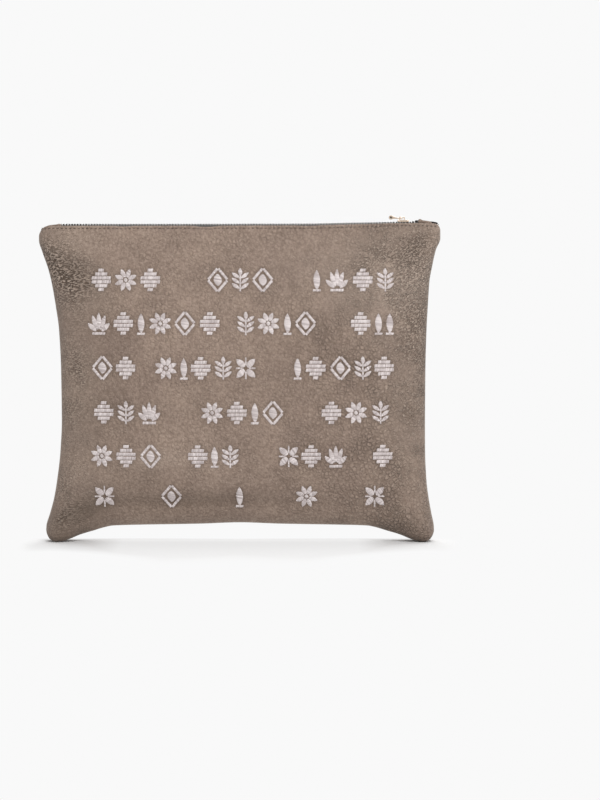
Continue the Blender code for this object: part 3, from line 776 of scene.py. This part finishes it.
def leather_material():
    """Cow leather, drum-shrunk, its face lightly sanded: matt, soft taupe with a cloudy tone and pebbled creases, with
    painted shade and painted light in its colour.
    """
    material, tree, shader = new_material("buffed_shrunken_cow_leather")
    place = object_place(tree)
    grain, fan, slant = (attribute(tree, name) for name in ("grain", "fan", "slant"))
    shade, worn_seam_and_painted_light, painted_stitch_shadow = (attribute(tree, name) for name in ("shade", "worn_seam_and_painted_light", "painted_stitch_shadow"))

    wander = add(tree, "ShaderNodeTexNoise", {"Vector": place, "Scale": 1 / (5 * MM), "Detail": 2.0}).outputs["Color"]
    push = add(tree, "ShaderNodeVectorMath", {0: wander, "Scale": 1.5 * MM}, operation="SCALE").outputs[0]
    moved = add(tree, "ShaderNodeVectorMath", {0: place, 1: push}, operation="ADD").outputs[0]
    slight = add(tree, "ShaderNodeVectorMath", {0: push, "Scale": 0.35}, operation="SCALE").outputs[0]
    nudged = add(tree, "ShaderNodeVectorMath", {0: place, 1: slight}, operation="ADD").outputs[0]

    # Three sets of creases: the hide's own pebble all over, long ones that fan from the left-hand corners, and
    # leaning ones at the right
    pebble = cell_valleys(tree, moved, 3.4, 0.28)
    fanned = drawn_lines(tree, nudged, 1.08, 9, 2.4)
    leaning = drawn_lines(tree, nudged, 1.02, 27, 2.2)
    pores = cell_valleys(tree, moved, 2.0, 0.34)
    deep = calc(tree, "MULTIPLY", pebble, grain)
    deep = calc(tree, "MAXIMUM", deep, calc(tree, "MULTIPLY", fanned, fan))
    deep = calc(tree, "MAXIMUM", deep, calc(tree, "MULTIPLY", leaning, slant))
    drawn = calc(tree, "MAXIMUM", fan, slant)
    crest_highlight = calc(tree, "MULTIPLY", calc(tree, "SUBTRACT", 1.0, calc(tree, "MULTIPLY", deep, 1.6)), drawn)

    # Colour: dye clouds and a mottle from buffing; painted shade in the crease and grain valleys, in the folds and
    # round the raised stitches; paler worn seams; painted light over parts of the front and on the crease ridges
    clouds = noise_of(tree, place, 34, 3.0)
    mottle = noise_of(tree, place, 2.8, 4.0, 0.62)
    nap = noise_of(tree, place, 1.5, 3.0, 0.6)
    colour = tint(tree, spread_out(tree, clouds, 0.0, 1.0, 0.28, 0.72), LEATHER_DARK, LEATHER_LIGHT)
    colour = tint(tree, spread_out(tree, mottle, 0.0, 0.42, 0.42, 0.72), colour, LEATHER_SHADE_AND_DARK_TONE)
    colour = tint(tree, spread_out(tree, mottle, 0.30, 0.0, 0.28, 0.55), colour, LEATHER_WORN_AND_PAINTED_LIGHT)
    # Painted shade: the crease and grain valleys, the shade attribute and the ring round the stitches darken the
    # colour, with slightly darker pores
    dark = calc(tree, "MULTIPLY_ADD", deep, 0.80, shade)
    dark = calc(tree, "MULTIPLY_ADD", pores, 0.12, dark)
    dark = calc(tree, "MULTIPLY_ADD", painted_stitch_shadow, 0.34, dark)
    colour = tint(tree, dark, colour, LEATHER_SHADE_AND_DARK_TONE)
    # Paler worn seams, with painted light over parts of the front
    colour = tint(tree, calc(tree, "MULTIPLY", worn_seam_and_painted_light, 0.45), colour, LEATHER_WORN_AND_PAINTED_LIGHT)
    # Painted light on the ridges between the drawn creases
    colour = tint(tree, calc(tree, "MULTIPLY", crest_highlight, 0.62), colour, LEATHER_WORN_AND_PAINTED_LIGHT)
    colour = tint(tree, spread_out(tree, nap, 0.0, 0.22, 0.45, 0.75), colour, LEATHER_SHADE_AND_DARK_TONE)

    # Surface: creases pressed in, cells slightly crowned, pores and nap over them
    normal = bump(tree, calc(tree, "SUBTRACT", 1.0, deep), 1.5, 1.0)
    crowns = calc(tree, "MULTIPLY", cell_valleys(tree, moved, 3.4, 0.40), spread_out(tree, grain, 0.35, 1.0))
    normal = bump(tree, calc(tree, "SUBTRACT", 1.0, crowns), 0.45, 0.6, normal)
    normal = bump(tree, calc(tree, "SUBTRACT", 1.0, pores), 0.16, spread_out(tree, grain, 0.25, 0.7), normal)
    normal = bump(tree, mottle, 0.22, 0.5, normal)
    normal = bump(tree, nap, 0.20, 0.5, normal)
    shade_with(
        tree,
        shader,
        {
            "Base Color": colour,
            "Roughness": spread_out(tree, nap, 0.56, 0.84),
            "Normal": normal,
            "Specular IOR Level": 0.34,
            "Sheen Weight": 0.10,
            "Sheen Roughness": 0.5,
        },
    )
    return material


def metal_material(name, dark, light, roughness, wear):
    """Cast zinc, tumbled and plated: a bright skin with soft ripples and faint handling marks."""
    material, tree, shader = new_material(name)
    ripple = noise_of(tree, object_place(tree), 1.2)
    shade_with(
        tree,
        shader,
        {
            "Base Color": tint(tree, spread_out(tree, ripple, 0.0, 1.0, 0.3, 0.7), dark, light),
            "Metallic": 1.0,
            "Roughness": spread_out(tree, ripple, roughness, roughness + wear),
            "Normal": bump(tree, ripple, 0.05, 0.4),
        },
    )
    return material


def thread_material(name, dark, light, roughness):
    """Twisted filament thread: smooth and silky, each strand in a slightly different tone."""
    material, tree, shader = new_material(name)
    strand = attribute(tree, "strand")
    fibres = noise_of(tree, object_place(tree), 0.35)
    shade_with(
        tree,
        shader,
        {
            "Base Color": tint(tree, strand, dark, light),
            "Roughness": spread_out(tree, fibres, roughness - 0.08, roughness + 0.12),
            "Normal": bump(tree, fibres, 0.04, 0.35),
            "Specular IOR Level": 0.55,
            "Sheen Weight": 0.25,
            "Sheen Roughness": 0.35,
        },
    )
    return material


def tape_material():
    """Polyester tape, woven in a fine twill: dark and dull, its ribs just visible."""
    material, tree, shader = new_material("twill_woven_polyester_tape")
    wave = {"Vector": object_place(tree), "Scale": 1 / (4 * MM), "Distortion": 1.0, "Detail": 1.0}
    ribs = add(tree, "ShaderNodeTexWave", wave, bands_direction="DIAGONAL").outputs["Fac"]
    shade_with(
        tree,
        shader,
        {
            "Base Color": tint(tree, ribs, "#12100e", "#28221e"),
            "Roughness": 0.88,
            "Normal": bump(tree, ribs, 0.12, 0.8),
            "Sheen Weight": 0.15,
        },
    )
    return material


def eye_shade_material():
    """A glossy black with a slightly uneven skin, for the disc that paints the shade inside the pull's eye."""
    material, tree, shader = new_material("glossy_black_eye_shade")
    skin = noise_of(tree, object_place(tree), 0.5)
    inputs = {"Base Color": linear("#0d0c0c"), "Roughness": 0.22, "Normal": bump(tree, skin, 0.02, 0.4)}
    shade_with(tree, shader, inputs)
    return material


# The darkest of these serves the hide's own darker tones and painted shade; the palest serves real wear and painted
# light
LEATHER_DARK = "#8c786c"
LEATHER_LIGHT = "#a38e7f"
LEATHER_SHADE_AND_DARK_TONE = "#544539"
LEATHER_WORN_AND_PAINTED_LIGHT = "#b8a799"

LEATHER_FINISH = leather_material()
TEETH_FINISH = metal_material("tumbled_nickel_teeth", "#dddbd8", "#ffffff", 0.26, 0.16)
SLIDER_FINISH = metal_material("pale_gold_nickel_plate", "#dcc4ac", "#f3e2d0", 0.18, 0.14)
TAPE_FINISH = tape_material()
# The black of the painted shade in the pull's eye
EYE_SHADE_FINISH = eye_shade_material()
SEWING_FINISH = thread_material("bonded_nylon_sewing_thread", "#3f332b", "#5f5046", 0.5)
SATIN_FINISH = thread_material("rayon_satin_stitch", "#a09290", "#eae1e0", 0.36)


# Camera, floor and light


def camera_like_the_photo(pixel, elevation, distance):
    """A long lens, near level, with the bag left of the picture's middle."""
    scene = bpy.context.scene
    image_width, image_height = 600, 800
    bag_middle_px, floor_px = 239.95, 541.5
    centre = Vector(((image_width / 2 - bag_middle_px) * pixel, 0.0, (floor_px - image_height / 2) * pixel))
    camera = bpy.data.objects.new("camera", bpy.data.cameras.new("camera"))
    scene.collection.objects.link(camera)
    camera.location = centre + distance * Vector((0.0, -math.cos(elevation), math.sin(elevation)))
    camera.rotation_euler = (math.pi / 2 - elevation, 0.0, 0.0)
    camera.data.sensor_fit = "VERTICAL"
    camera.data.sensor_height = 36.0
    camera.data.lens = 36.0 * distance / (image_height * pixel)
    camera.data.clip_start = 0.05
    scene.camera = camera


def paper_material():
    """Matt white paper under the bag, which fades into the evenly lit white around it."""
    material, tree, shader = new_material("matt_white_paper")
    seen = add(tree, "ShaderNodeLightPath").outputs["Is Camera Ray"]
    grey = spread_out(tree, seen, PAPER_BOUNCE, PAPER_SEEN)
    shade_with(tree, shader, {"Roughness": 0.9, "Specular IOR Level": 0.1, "Base Color": grey})
    along = add(tree, "ShaderNodeSeparateXYZ", {0: object_place(tree)}).outputs
    from_foot = calc(tree, "ABSOLUTE", calc(tree, "SUBTRACT", calc(tree, "ABSOLUTE", along["X"]), 0.163))
    inside = calc(tree, "MULTIPLY", calc(tree, "MAXIMUM", calc(tree, "SUBTRACT", from_foot, 0.014), 0.0), 0.55)
    past_foot = calc(tree, "SUBTRACT", calc(tree, "ABSOLUTE", along["X"]), 0.163 + 0.014)
    outside = calc(tree, "MULTIPLY", calc(tree, "MAXIMUM", past_foot, 0.0), 8.0)
    beside = calc(tree, "MAXIMUM", inside, outside)
    by_foot = spread_out(tree, from_foot, 2.2, 1.0, 0.0, 0.10)
    before = calc(tree, "MULTIPLY", along["Y"], by_foot)
    behind = calc(tree, "MULTIPLY", calc(tree, "MAXIMUM", along["Y"], 0.0), 8.0)
    away = add(tree, "ShaderNodeCombineXYZ", {"X": beside, "Y": before, "Z": behind}).outputs[0]
    far = add(tree, "ShaderNodeVectorMath", {0: away}, operation="LENGTH").outputs["Value"]
    reach = {"Value": far, "From Min": 0.05, "From Max": 0.18}
    fade = add(tree, "ShaderNodeMapRange", reach, interpolation_type="SMOOTHERSTEP").outputs["Result"]
    white = add(tree, "ShaderNodeEmission", {"Color": (1.0, 1.0, 1.0, 1.0), "Strength": WHITE})
    aside = calc(tree, "MAXIMUM", far, calc(tree, "MULTIPLY", inside, 5.5))
    close = spread_out(tree, aside, PAPER_CLOSE, PAPER_SOFT, 0.04, 0.13)
    both = add(tree, "ShaderNodeMixShader", {0: calc(tree, "MAXIMUM", fade, close), 1: shader.outputs[0], 2: white.outputs[0]})
    tree.links.new(both.outputs[0], tree.nodes["Material Output"].inputs["Surface"])
    return material


def studio():
    """The photo's setting: plain white, with soft light from above and in front."""
    scene = bpy.context.scene
    scene.view_settings.view_transform = "Standard"
    camera_like_the_photo(0.901 * MM, math.radians(3.5), 1.9)
    world = bpy.data.worlds.new("studio")
    world.use_nodes = True
    scene.world = world
    tree = world.node_tree
    seen = add(tree, "ShaderNodeLightPath").outputs["Is Camera Ray"]
    strength = spread_out(tree, seen, WORLD_LIGHT, WHITE)
    shade_with(tree, tree.nodes["Background"], {"Color": (1.0, 1.0, 1.0, 1.0), "Strength": strength})

    bpy.ops.mesh.primitive_plane_add(size=14, location=(0.0, 0.0, -0.0002))
    floor = bpy.context.active_object
    floor.name = "floor"
    floor.data.materials.append(paper_material())
    for name, place, size, power, aim in LAMPS:
        data = bpy.data.lights.new(name, "AREA")
        data.shape = "DISK"
        data.size = size
        data.energy = power
        lamp = bpy.data.objects.new(name, data)
        scene.collection.objects.link(lamp)
        lamp.location = place
        lamp.rotation_euler = (Vector(aim) - Vector(place)).to_track_quat("-Z", "Y").to_euler()


WHITE = 0.947
WORLD_LIGHT = 0.50
PAPER_SEEN = 0.84
PAPER_BOUNCE = 0.50
PAPER_CLOSE = 0.0
PAPER_SOFT = 0.60
LAMPS = (
    ("key", (0.55, -1.6, 1.8), 1.3, 26.0, (0.0, 0.0, 0.14)),
    ("top", (0.2, 0.75, 2.2), 1.6, 24.0, (0.0, 0.0, 0.0)),
    ("fill", (1.5, -1.6, 0.6), 1.2, 8.0, (0.0, 0.0, 0.15)),
)

studio()


# The zip


def leather_top(x):
    return outline(np.asarray(x, dtype=float), np.full(np.shape(x), BAG_HEIGHT))[1]


def chain_height(x):
    """The height of the chain's middle plane."""
    return BAG_HEIGHT + ZIP_PROUD + ZIP_RISE * read(TOP_EDGE, "chain", np.asarray(x) / HALF_WIDTH)


def parting(x):
    """How far each half of the chain leaves the middle, beyond the slider's closing end."""
    start = SLIDER_X - SLIDER_LENGTH * 0.35
    return CHAIN_PARTING * smoothstep((np.asarray(x) - start) / (SLIDER_LENGTH * 0.7))


def path_object(name, points):
    """A guide curve through points, only for making what follows it."""
    curve = bpy.data.curves.new(name, "CURVE")
    curve.dimensions = "3D"
    spline = curve.splines.new("POLY")
    spline.points.add(len(points) - 1)
    for point, place in zip(spline.points, points):
        point.co = (*place, 1.0)
    guide = bpy.data.objects.new(name, curve)
    bpy.context.scene.collection.objects.link(guide)
    return guide


def repeat_tree(name, finish):
    """A node tree that sets copies of one part along a guide at an even pitch, its X along the guide."""
    tree = bpy.data.node_groups.new(name, "GeometryNodeTree")
    tree.interface.new_socket("Geometry", in_out="INPUT", socket_type="NodeSocketGeometry")
    pitch = tree.interface.new_socket("Pitch", in_out="INPUT", socket_type="NodeSocketFloat")
    part = tree.interface.new_socket("Part", in_out="INPUT", socket_type="NodeSocketObject")
    spread = tree.interface.new_socket("Turn spread", in_out="INPUT", socket_type="NodeSocketFloat")
    tree.interface.new_socket("Geometry", in_out="OUTPUT", socket_type="NodeSocketGeometry")
    start = add(tree, "NodeGroupInput").outputs
    points = add(tree, "GeometryNodeCurveToPoints", {0: start["Geometry"], "Length": start["Pitch"]}, mode="LENGTH")
    source = add(tree, "GeometryNodeObjectInfo", {"Object": start["Part"]})
    along = add(tree, "FunctionNodeAlignRotationToVector", {"Vector": points.outputs["Tangent"]}, axis="X")
    least = add(tree, "ShaderNodeMath", {0: start["Turn spread"], 1: -1.0}, operation="MULTIPLY").outputs[0]
    chance = add(tree, "FunctionNodeRandomValue", {2: least, 3: start["Turn spread"], "Seed": 7}, data_type="FLOAT")
    wobble = add(tree, "ShaderNodeCombineXYZ", {"Y": chance.outputs[1], "Z": chance.outputs[1]}).outputs[0]
    placed = {"Points": points.outputs[0], "Instance": source.outputs["Geometry"], "Rotation": along.outputs[0]}
    copies = add(tree, "GeometryNodeInstanceOnPoints", placed).outputs[0]
    turned = add(tree, "GeometryNodeRotateInstances", {"Instances": copies, "Rotation": wobble}).outputs[0]
    real = add(tree, "GeometryNodeRealizeInstances", {"Geometry": turned}).outputs[0]
    finished = add(tree, "GeometryNodeSetMaterial", {"Geometry": real, "Material": finish}).outputs[0]
    add(tree, "NodeGroupOutput", {"Geometry": finished})
    return tree, {"pitch": pitch.identifier, "part": part.identifier, "spread": spread.identifier}


def repeat_along(name, guide, part, pitch, spread, finish):
    """One mesh of copies of a part along a guide; the guide and the part are used up."""
    tree, sockets = repeat_tree(name, finish)
    modifier = guide.modifiers.new("repeat", "NODES")
    modifier.node_group = tree
    modifier[sockets["pitch"]] = pitch
    modifier[sockets["part"]] = part
    modifier[sockets["spread"]] = spread
    graph = bpy.context.evaluated_depsgraph_get()
    mesh = bpy.data.meshes.new_from_object(guide.evaluated_get(graph))
    mesh.name = name
    for used in (guide, part):
        bpy.data.objects.remove(used, do_unlink=True)
    mesh.shade_smooth()
    return mesh


def rounded_box(work, low, high, edge, segments):
    """A box between two corners with rounded edges, added to a mesh being made."""
    made = bmesh.ops.create_cube(work, size=1.0)["verts"]
    bmesh.ops.scale(work, vec=Vector(high) - Vector(low), verts=made)
    bmesh.ops.translate(work, vec=(Vector(high) + Vector(low)) / 2, verts=made)
    edges = {link for vertex in made for link in vertex.link_edges}
    bmesh.ops.bevel(work, geom=list(edges), offset=edge, segments=segments, profile=0.5, affect="EDGES")


def part_object(name, work):
    mesh = bpy.data.meshes.new(name)
    work.to_mesh(mesh)
    work.free()
    part = bpy.data.objects.new(name, mesh)
    bpy.context.scene.collection.objects.link(part)
    return part


def tooth_part(facing):
    """One tooth: a jaw clamped on the tape's bead, and a narrower head towards the other comb."""
    work = bmesh.new()
    half = TOOTH_THICKNESS / 2
    jaw = sorted((facing * SPINE_OUTER, facing * SPINE_INNER * 0.7))
    head = sorted((facing * SPINE_INNER * 0.75, -facing * TOOTH_OVERLAP))
    rounded_box(work, (-0.62 * MM, jaw[0], -half), (0.62 * MM, jaw[1], half), 0.26 * MM, 2)
    rounded_box(work, (-0.46 * MM, head[0], -0.8 * half), (0.46 * MM, head[1], 0.8 * half), 0.2 * MM, 2)
    return part_object("tooth", work)


def teeth(name, facing):
    """One comb of stamped teeth on its tape's bead."""
    first = -CHAIN_END + TOOTH_PITCH * (0.3 if facing < 0 else 0.8)
    last = first + TOOTH_PITCH * (int(2 * CHAIN_END / TOOTH_PITCH) - 1) + 0.1 * MM
    x = np.linspace(first, last, 280)
    points = np.stack([x, facing * parting(x), chain_height(x)], axis=-1)
    mesh = repeat_along(name, path_object("chain_line", points), tooth_part(facing), TOOTH_PITCH, 0.03, TEETH_FINISH)
    return mesh_piece(name, mesh, BAG, TEETH_FINISH)


def rod(name, points, radii, sides=10, tall=1.0):
    """A closed round rod through points, or an upright oval one, for beads and threads."""
    points = np.asarray(points, dtype=float)
    forward = np.gradient(points, axis=0)
    forward /= np.linalg.norm(forward, axis=1)[:, None]
    up = np.array([0.0, 0.0, 1.0])
    right = np.cross(forward, up)
    right /= np.linalg.norm(right, axis=1)[:, None]
    over = np.cross(right, forward)
    angle = np.linspace(0, 2 * math.pi, sides, endpoint=False)
    ring = right[:, None] * np.cos(angle)[None, :, None] + over[:, None] * np.sin(angle)[None, :, None] * tall
    body = points[:, None] + ring * np.asarray(radii)[:, None, None]
    index = np.arange(len(points) * sides).reshape(len(points), sides)
    turn = np.roll(index, -1, axis=1)
    faces = np.stack([index[:-1], index[1:], turn[1:], turn[:-1]], axis=-1).reshape(-1, 4).tolist()
    faces += [index[0].tolist(), index[-1][::-1].tolist()]
    mesh = bpy.data.meshes.new(name)
    mesh.from_pydata(body.reshape(-1, 3).tolist(), [], faces)
    mesh.shade_smooth()
    return mesh


def stitch_part():
    """One top stitch: a waxed thread that rises from its hole, lies on the leather and goes down again."""
    t = np.linspace(-1, 1, 13)
    points = np.stack([t * 1.0 * MM, t * 0.10 * MM, 0.34 * MM - 0.85 * MM * abs(t) ** 5], axis=-1)
    mesh = rod("stitch", points, 0.30 * MM * (1 - 0.25 * abs(t) ** 4), 8)
    part = bpy.data.objects.new("stitch", mesh)
    bpy.context.scene.collection.objects.link(part)
    return part


def top_stitching(name, facing, forms):
    """A row of top stitches along the leather's turned edge."""
    x = np.linspace(-HALF_WIDTH + 6 * MM, HALF_WIDTH - 5 * MM, 500)
    z = np.full_like(x, BAG_HEIGHT - STITCH_FROM_EDGE)
    points = leather_point(forms, facing, x, z)
    part = stitch_part()
    lean = Matrix.Rotation(-facing * math.radians(72), 4, "X")
    part.data.transform(lean)
    mesh = repeat_along(name, path_object("stitch_line", points), part, STITCH_PITCH, 0.04, SEWING_FINISH)
    strand_tones(mesh, len(stitch_part_vertices()), 31)
    return mesh_piece(name, mesh, BAG, SEWING_FINISH)


def stitch_part_vertices():
    return range(13 * 8)


def strand_tones(mesh, vertices_each, seed):
    """A random tone for each thread of a mesh of equal threads."""
    chance = np.random.default_rng(seed)
    count = len(mesh.vertices)
    tones = np.repeat(chance.random(count // vertices_each + 1), vertices_each)[:count]
    layer = mesh.attributes.new("strand", "FLOAT", "POINT")
    layer.data.foreach_set("value", tones.astype(np.float32))


def zip_tape(name, facing):
    """A woven tape: a corded bead under the teeth, level beside them, then down inside the leather."""
    x = np.concatenate([np.arange(-CHAIN_END, SLIDER_X - 8 * MM, 2.0 * MM), np.arange(SLIDER_X - 8 * MM, CHAIN_END, MM)])
    x = np.append(x, CHAIN_END)
    level = chain_height(x)
    inner = SPINE_INNER + 0.35 * MM + parting(x)
    outer = mouth_half(x) - TAPE_INSIDE
    sag = rough_field(x, 0 * x + facing, 26 * MM, 4.4, 2) * 0.25 * MM
    free = smoothstep((abs(x - SLIDER_X) - 5.2 * MM) / (2.6 * MM))
    rows = []
    for share, held, hung in ((0, 0.2, 0.3), (0.2, 0.2, 0.9), (0.45, 0.3, 1.3), (0.7, 0.4, 1.5), (0.88, 1.0, 1.7), (1, 1.9, 2.2)):
        y = inner + (outer - inner) * share
        drop = (held + (hung - held) * free) * MM
        rows.append(np.stack([x, facing * y, level + TAPE / 2 - drop + sag * math.sin(math.pi * share)], axis=-1))
    for down in (0.25, 0.4, 0.6, 0.8, 1.0):
        z = np.full_like(x, BAG_HEIGHT - TAPE_DEPTH * down)
        out_x, out_z = outline(x, z)
        y = depth(FOOT_FORMS, x, z) - TAPE_INSIDE
        rows.append(np.stack([x, facing * y, out_z], axis=-1))
    tape = mesh_piece(name, sheet_mesh(name, np.array(rows), facing < 0), BAG, TAPE_FINISH)
    add_wall(tape, TAPE * 0.7)
    return settle(tape)


def zip_bead(name, facing):
    """The cord along the tape's edge that the teeth are clamped on."""
    x = np.linspace(-CHAIN_END, CHAIN_END, 330)
    y = facing * ((SPINE_INNER + SPINE_OUTER) / 2 + parting(x))
    points = np.stack([x, y, chain_height(x)], axis=-1)
    return mesh_piece(name, rod(name, points, np.full(len(x), 0.42 * MM), 10, 2.7), BAG, TAPE_FINISH)


def strip(name, rows, finish):
    """A closed soft strip from rows of (x, half width, middle height, half thickness)."""
    sides = 28
    angle = np.linspace(0, 2 * math.pi, sides, endpoint=False)
    across = np.sign(np.cos(angle)) * abs(np.cos(angle)) ** 0.45
    up = np.sign(np.sin(angle)) * abs(np.sin(angle)) ** 0.75
    rows = np.array(rows)
    body = np.stack(
        [
            np.repeat(rows[:, 0:1], sides, 1),
            rows[:, 1:2] * across,
            rows[:, 2:3] + rows[:, 3:4] * up,
        ],
        axis=-1,
    )
    wave = rough_field(body[..., 0], body[..., 1], 4.5 * MM, 6.6, 2) * 0.16 * MM
    body[..., 2] += wave * np.clip(rows[:, 3:4] / MM, 0, 1)
    index = np.arange(len(rows) * sides).reshape(len(rows), sides)
    turn = np.roll(index, -1, axis=1)
    faces = np.stack([index[:-1], turn[:-1], turn[1:], index[1:]], axis=-1).reshape(-1, 4).tolist()
    faces += [index[0][::-1].tolist(), index[-1].tolist()]
    mesh = bpy.data.meshes.new(name)
    mesh.from_pydata(body.reshape(-1, 3).tolist(), [], faces)
    mesh.shade_smooth()
    for title, value in (("grain", 0.2), ("fan", 0.0), ("slant", 0.0), ("shade", 0.1), ("worn_seam_and_painted_light", 0.0), ("painted_stitch_shadow", 0.0)):
        layer = mesh.attributes.new(title, "FLOAT", "POINT")
        layer.data.foreach_set("value", np.full(len(mesh.vertices), value, dtype=np.float32))
    return mesh_piece(name, mesh, BAG, finish)


def end_tab(name, side, lift, hump):
    """A leather tab folded over one end of the zip, crowned where it covers the last teeth."""
    inner, outer = CHAIN_END + 0.3 * MM, CHAIN_END + 12.4 * MM
    half_width = float(mouth_half(np.array(outer))) - TAPE_INSIDE + 0.3 * MM
    rows = []
    for t in np.concatenate([[0.0, 0.01, 0.04], np.linspace(0.1, 0.9, 17), [0.96, 0.99, 1.0]]):
        round_end = math.sqrt(max(1 - (2 * t - 1) ** 14, 0.0))
        place = side * (inner + (outer - inner) * t)
        under = float(leather_top(np.array(place))) - 1.4 * MM
        crown = math.exp(-(((t - 0.14) / 0.13) ** 2)) - 1.6 * t * t
        over = float(chain_height(np.array(side * inner))) + lift + hump * crown
        half = (over - under) / 2 * (0.3 + 0.7 * round_end)
        rows.append((place, half_width * (0.9 + 0.1 * round_end), (over + under) / 2, half))
    if side < 0:
        rows.reverse()
    return strip(name, rows, LEATHER_FINISH)


def tape_end(name, side, drop):
    """The tape's end, which shows as a dark scrap between the tab and the bag's corner."""
    rows = []
    for t in np.linspace(0, 1, 9):
        reach = CHAIN_END + 11.0 * MM + 7.2 * MM * t
        half = min(3.4 * MM, float(mouth_half(np.array(reach))) - LEATHER - 0.3 * MM) * (1 - 0.2 * t)
        height = float(chain_height(np.array(side * CHAIN_END))) - drop - 0.9 * MM * t * t
        rows.append((side * reach, max(half, 0.8 * MM), height, 1.0 * MM * (1 - 0.7 * t**8)))
    if side < 0:
        rows.reverse()
    return strip(name, rows, TAPE_FINISH)


def metal_copy(name, node, body, voxel, finish):
    """A cast piece: the drawn shape with every edge and joint rounded as casting and tumbling leave them."""
    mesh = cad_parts[node].data.copy()
    work = bmesh.new()
    work.from_mesh(mesh)
    bmesh.ops.remove_doubles(work, verts=work.verts, dist=0.00001)
    work.to_mesh(mesh)
    work.free()
    piece = mesh_piece(name, mesh, body, finish)
    cast = piece.modifiers.new("cast", "REMESH")
    cast.mode = "VOXEL"
    cast.voxel_size = voxel
    cast.use_smooth_shade = True
    tumble = piece.modifiers.new("tumble", "SMOOTH")
    tumble.factor = 0.5
    tumble.iterations = 12
    return settle(piece)


def eye_shade_disc(name):
    """A black disc set in the pull's eye: painted shade where the hole shows dark."""
    low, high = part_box("pull_tab")
    middle = ((low.x + PULL_EYE_RADIUS), 0.0, high.z - PULL_EYE_RADIUS)
    work = bmesh.new()
    bmesh.ops.create_cone(work, segments=32, radius1=PULL_EYE_HOLE, radius2=PULL_EYE_HOLE, depth=1.6 * MM, cap_ends=True)
    bmesh.ops.rotate(work, verts=work.verts, matrix=Matrix.Rotation(math.pi / 2, 3, "X"))
    bmesh.ops.translate(work, verts=work.verts, vec=middle)
    mesh = bpy.data.meshes.new(name)
    work.to_mesh(mesh)
    work.free()
    return mesh_piece(name, mesh, PULL, EYE_SHADE_FINISH)


# The embroidery


def satin(name, stitches):
    """One row of ornament in satin stitch: every stitch its own raised thread, its ends drawn into the leather."""
    spans = np.linspace(-1, 1, 7)
    share = (spans + 1) / 2
    left, right = stitches[:, 0:2], stitches[:, 2:4]
    crown, tone = stitches[:, 4], stitches[:, 5]
    line = left[:, None] * (1 - share)[None, :, None] + right[:, None] * share[None, :, None]
    forward = right - left
    forward /= np.linalg.norm(forward, axis=1)[:, None]
    aside = np.stack([-forward[:, 1], forward[:, 0]], axis=-1) * THREAD_HALF
    lift = crown[:, None] * (1 - abs(spans) ** 2.6)[None, :] - 0.16 * MM * (abs(spans) ** 8)[None, :]
    ridge = np.array([-0.12, 0.13, -0.12]) * MM
    place = line[:, :, None] + aside[:, None, None] * np.array([-1.0, 0.0, 1.0])[None, None, :, None]
    height = lift[:, :, None] + ridge[None, None, :]
    out_x, out_z = place[..., 0], place[..., 1]
    x, z = pattern_place(out_x, out_z)
    out_y = -(depth(FRONT_FORMS, x, z) + relief(FRONT_FORMS, x, z) + height)
    points = np.stack([out_x, out_y, out_z], axis=-1)
    count = len(stitches)
    index = np.arange(count * 7 * 3).reshape(count, 7, 3)
    faces = np.stack([index[:, :-1, :-1], index[:, 1:, :-1], index[:, 1:, 1:], index[:, :-1, 1:]], axis=-1)
    mesh = bpy.data.meshes.new(name)
    mesh.from_pydata(points.reshape(-1, 3).tolist(), [], faces.reshape(-1, 4).tolist())
    mesh.shade_smooth()
    layer = mesh.attributes.new("strand", "FLOAT", "POINT")
    layer.data.foreach_set("value", np.repeat(tone, 21).astype(np.float32))
    return mesh_piece(name, mesh, BAG, SATIN_FINISH)


# The whole bag

REPLACED = {
    "leather_front": "front_panel",
    "leather_back": "back_panel",
    "zip_teeth_front": "teeth_front",
    "zip_teeth_back": "teeth_back",
    "woven_tape_front": "zip_tape_front",
    "woven_tape_back": "zip_tape_back",
    "end_tab_left": "zip_end_left",
    "end_tab_right": "zip_end_right",
    "slider_body": "slider",
    "slider_pull": "pull_tab",
}

front = leather_panel("leather_front", -1, FRONT_FORMS, 1.55 * MM, LEATHER_FINISH)
back = leather_panel("leather_back", 1, FOOT_FORMS, 2.4 * MM, LEATHER_FINISH)
for side_name, facing, forms in (("front", -1, FRONT_FORMS), ("back", 1, FOOT_FORMS)):
    teeth(f"zip_teeth_{side_name}", facing)
    zip_tape(f"woven_tape_{side_name}", facing)
    zip_bead(f"tape_bead_{side_name}", facing)
    top_stitching(f"top_stitching_{side_name}", facing, forms)
end_tab("end_tab_left", -1, 0.6 * MM, 0.6 * MM)
end_tab("end_tab_right", 1, 1.3 * MM, 1.0 * MM)
tape_end("tape_end_left", -1, 3.0 * MM)
tape_end("tape_end_right", 1, 0.9 * MM)
metal_copy("slider_body", "slider", BAG, 0.14 * MM, SLIDER_FINISH)
metal_copy("slider_pull", "pull_tab", PULL, 0.10 * MM, SLIDER_FINISH)
# Painted shade: a black disc in the pull's eye
eye_shade_disc("eye_enamel")
for row, stitches in zip(ROWS[1:], STITCHES):
    satin(f"satin_row_{row[0]}", stitches)

for piece, body in PIECES:
    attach(piece, body)
    if piece.name in REPLACED:
        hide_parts(REPLACED[piece.name])

pieces = {piece.name: piece for piece, _ in PIECES}
for side_name, other in (("front", "back"), ("back", "front")):
    going = [pieces[f"tape_bead_{side_name}"]]
    if side_name == "front":
        going += [pieces["tape_end_left"], pieces["tape_end_right"]]
